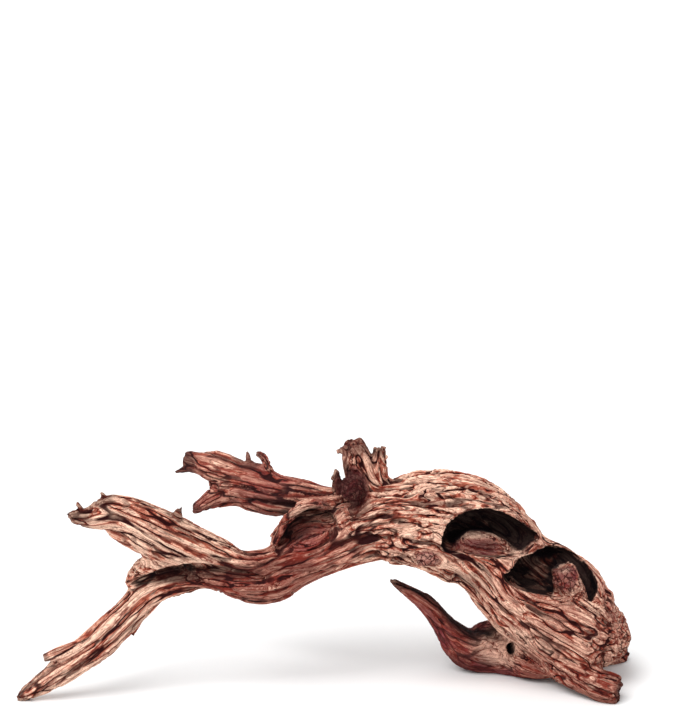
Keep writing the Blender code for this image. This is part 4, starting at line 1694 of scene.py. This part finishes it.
def weathered_wood():
    """Colour, roughness and height of weathered wood; the colour holds painted shade and painted highlights
    too.
    """
    group = bpy.data.node_groups.new("weathered wood", "ShaderNodeTree")
    for name, way, kind, value in SOCKETS:
        socket = group.interface.new_socket(name, in_out=way, socket_type="NodeSocket" + kind)
        if value is not None:
            socket.default_value = value
    given = group.nodes.new("NodeGroupInput").outputs
    result = group.nodes.new("NodeGroupOutput").inputs
    read = readings(group)
    fine = fine_lines(group, read, given["Crevice Width"])
    deep = deep_lines(group, read, given["Crevice Width"])
    colour = given["Brown"]
    for share, over in coats(group, read, given, fine, deep):
        colour = mixed(group, share, colour, over)
    height = worked_out(group, "MULTIPLY_ADD", read["fine streaks"], STREAK_HEIGHT, read["grit"])
    height = worked_out(group, "SUBTRACT", height, most(group, deep, fine))
    group.links.new(colour, result["Color"])
    group.links.new(span(group, read["fine streaks"], "roughness"), result["Roughness"])
    group.links.new(height, result["Height"])
    return group


wood_group = weathered_wood()
print("the group has", len(wood_group.nodes), "nodes")

# %% [markdown]
# ## Three woods
#
# The trunk and the stubs are tan and deeply cracked. The limb and the roots are browner. The branch behind
# and the spur are smoother and darker. Each is a material of its own, with its own values in the same
# group.

# %% The materials
# slot: (width of the crevices, strength of the streaks, bump in mm, specular level)
WOODS = {
    "tan_wood": (0.46, 0.4, 0.4, 0.08),
    "brown_wood": (0.5, 0.4, 0.4, 0.1),
    "dark_wood": (0.45, 0.35, 0.3, 0.15),
}
BUMP_STRENGTH = 0.6


def wood_material(slot, crevice_width, streak_strength, bump_mm, specular):
    """One kind of wood: the group feeds a Principled shader and a Bump."""
    look = bpy.data.materials.new(slot)
    look.use_nodes = True
    tree = look.node_tree
    shader = tree.nodes["Principled BSDF"]
    shader.inputs["Specular IOR Level"].default_value = specular
    group = tree.nodes.new("ShaderNodeGroup")
    group.node_tree = wood_group
    group.inputs["Crevice Width"].default_value = crevice_width
    group.inputs["Streak Strength"].default_value = streak_strength
    bump = add_node(tree, "ShaderNodeBump", Strength=BUMP_STRENGTH, Distance=bump_mm * MM)
    tree.links.new(group.outputs["Height"], bump.inputs["Height"])
    tree.links.new(group.outputs["Color"], shader.inputs["Base Color"])
    tree.links.new(group.outputs["Roughness"], shader.inputs["Roughness"])
    tree.links.new(bump.outputs["Normal"], shader.inputs["Normal"])
    return look


materials = {slot: wood_material(slot, *values) for slot, values in WOODS.items()}
print("materials:", ", ".join(materials))

# %% [markdown]
# ## Putting the pieces in the frame
#
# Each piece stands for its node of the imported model, rides on the only body there is, and takes its
# material from the same slot as its node.

# %% Each piece takes its node's place
SLOTS = {part["node"]: part["material_slot"] for part in frame["record"]["subparts"]}
for name, made in made_pieces.items():
    made.data.materials.clear()
    made.data.materials.append(materials[SLOTS[name]])
    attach(made, "root")
    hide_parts(name)
print("placed", len(made_pieces), "pieces")

# %% [markdown]
# ## Floor and light
#
# The photograph has a plain white ground and even light from above, a little from the left. A wide floor
# and a bright sky give that, and a soft sun gives the grain its shadows.

# %% The floor
FLOOR_HALF = 6.0
FLOOR_DROP = 0.0002
FLOOR_WHITE = (0.86, 0.86, 0.86, 1.0)
floor_shape = bmesh.new()
bmesh.ops.create_grid(floor_shape, x_segments=1, y_segments=1, size=FLOOR_HALF)
bmesh.ops.translate(floor_shape, vec=(0, 0, -FLOOR_DROP), verts=floor_shape.verts)
floor = put("floor", floor_shape)
floor_look = bpy.data.materials.new("pale_floor")
floor_look.use_nodes = True
floor_shader = floor_look.node_tree.nodes["Principled BSDF"]
for name, value in {"Base Color": FLOOR_WHITE, "Roughness": 0.9, "Specular IOR Level": 0.1}.items():
    floor_shader.inputs[name].default_value = value
floor.data.materials.append(floor_look)
print("floor", 2 * FLOOR_HALF, "m wide")

# %% The lights
SUN_STRENGTH = 2.8
SUN_SOFTNESS = math.radians(40)
SUN_LEAN = math.radians(38)
SUN_TURN = math.radians(-32)
SKY_WHITE = (1.0, 1.0, 1.0, 1.0)
SKY_STRENGTH = 0.8
sun = bpy.data.lights.new("sun", "SUN")
sun.energy = SUN_STRENGTH
sun.angle = SUN_SOFTNESS
sun_place = bpy.data.objects.new("sun", sun)
sun_place.rotation_euler = (SUN_LEAN, 0, SUN_TURN)
bpy.context.scene.collection.objects.link(sun_place)
sky = bpy.data.worlds.new("sky")
sky.use_nodes = True
background = sky.node_tree.nodes["Background"]
background.inputs["Color"].default_value = SKY_WHITE
background.inputs["Strength"].default_value = SKY_STRENGTH
bpy.context.scene.world = sky
bpy.context.scene.view_settings.view_transform = "Standard"
print("a soft sun and a white sky")
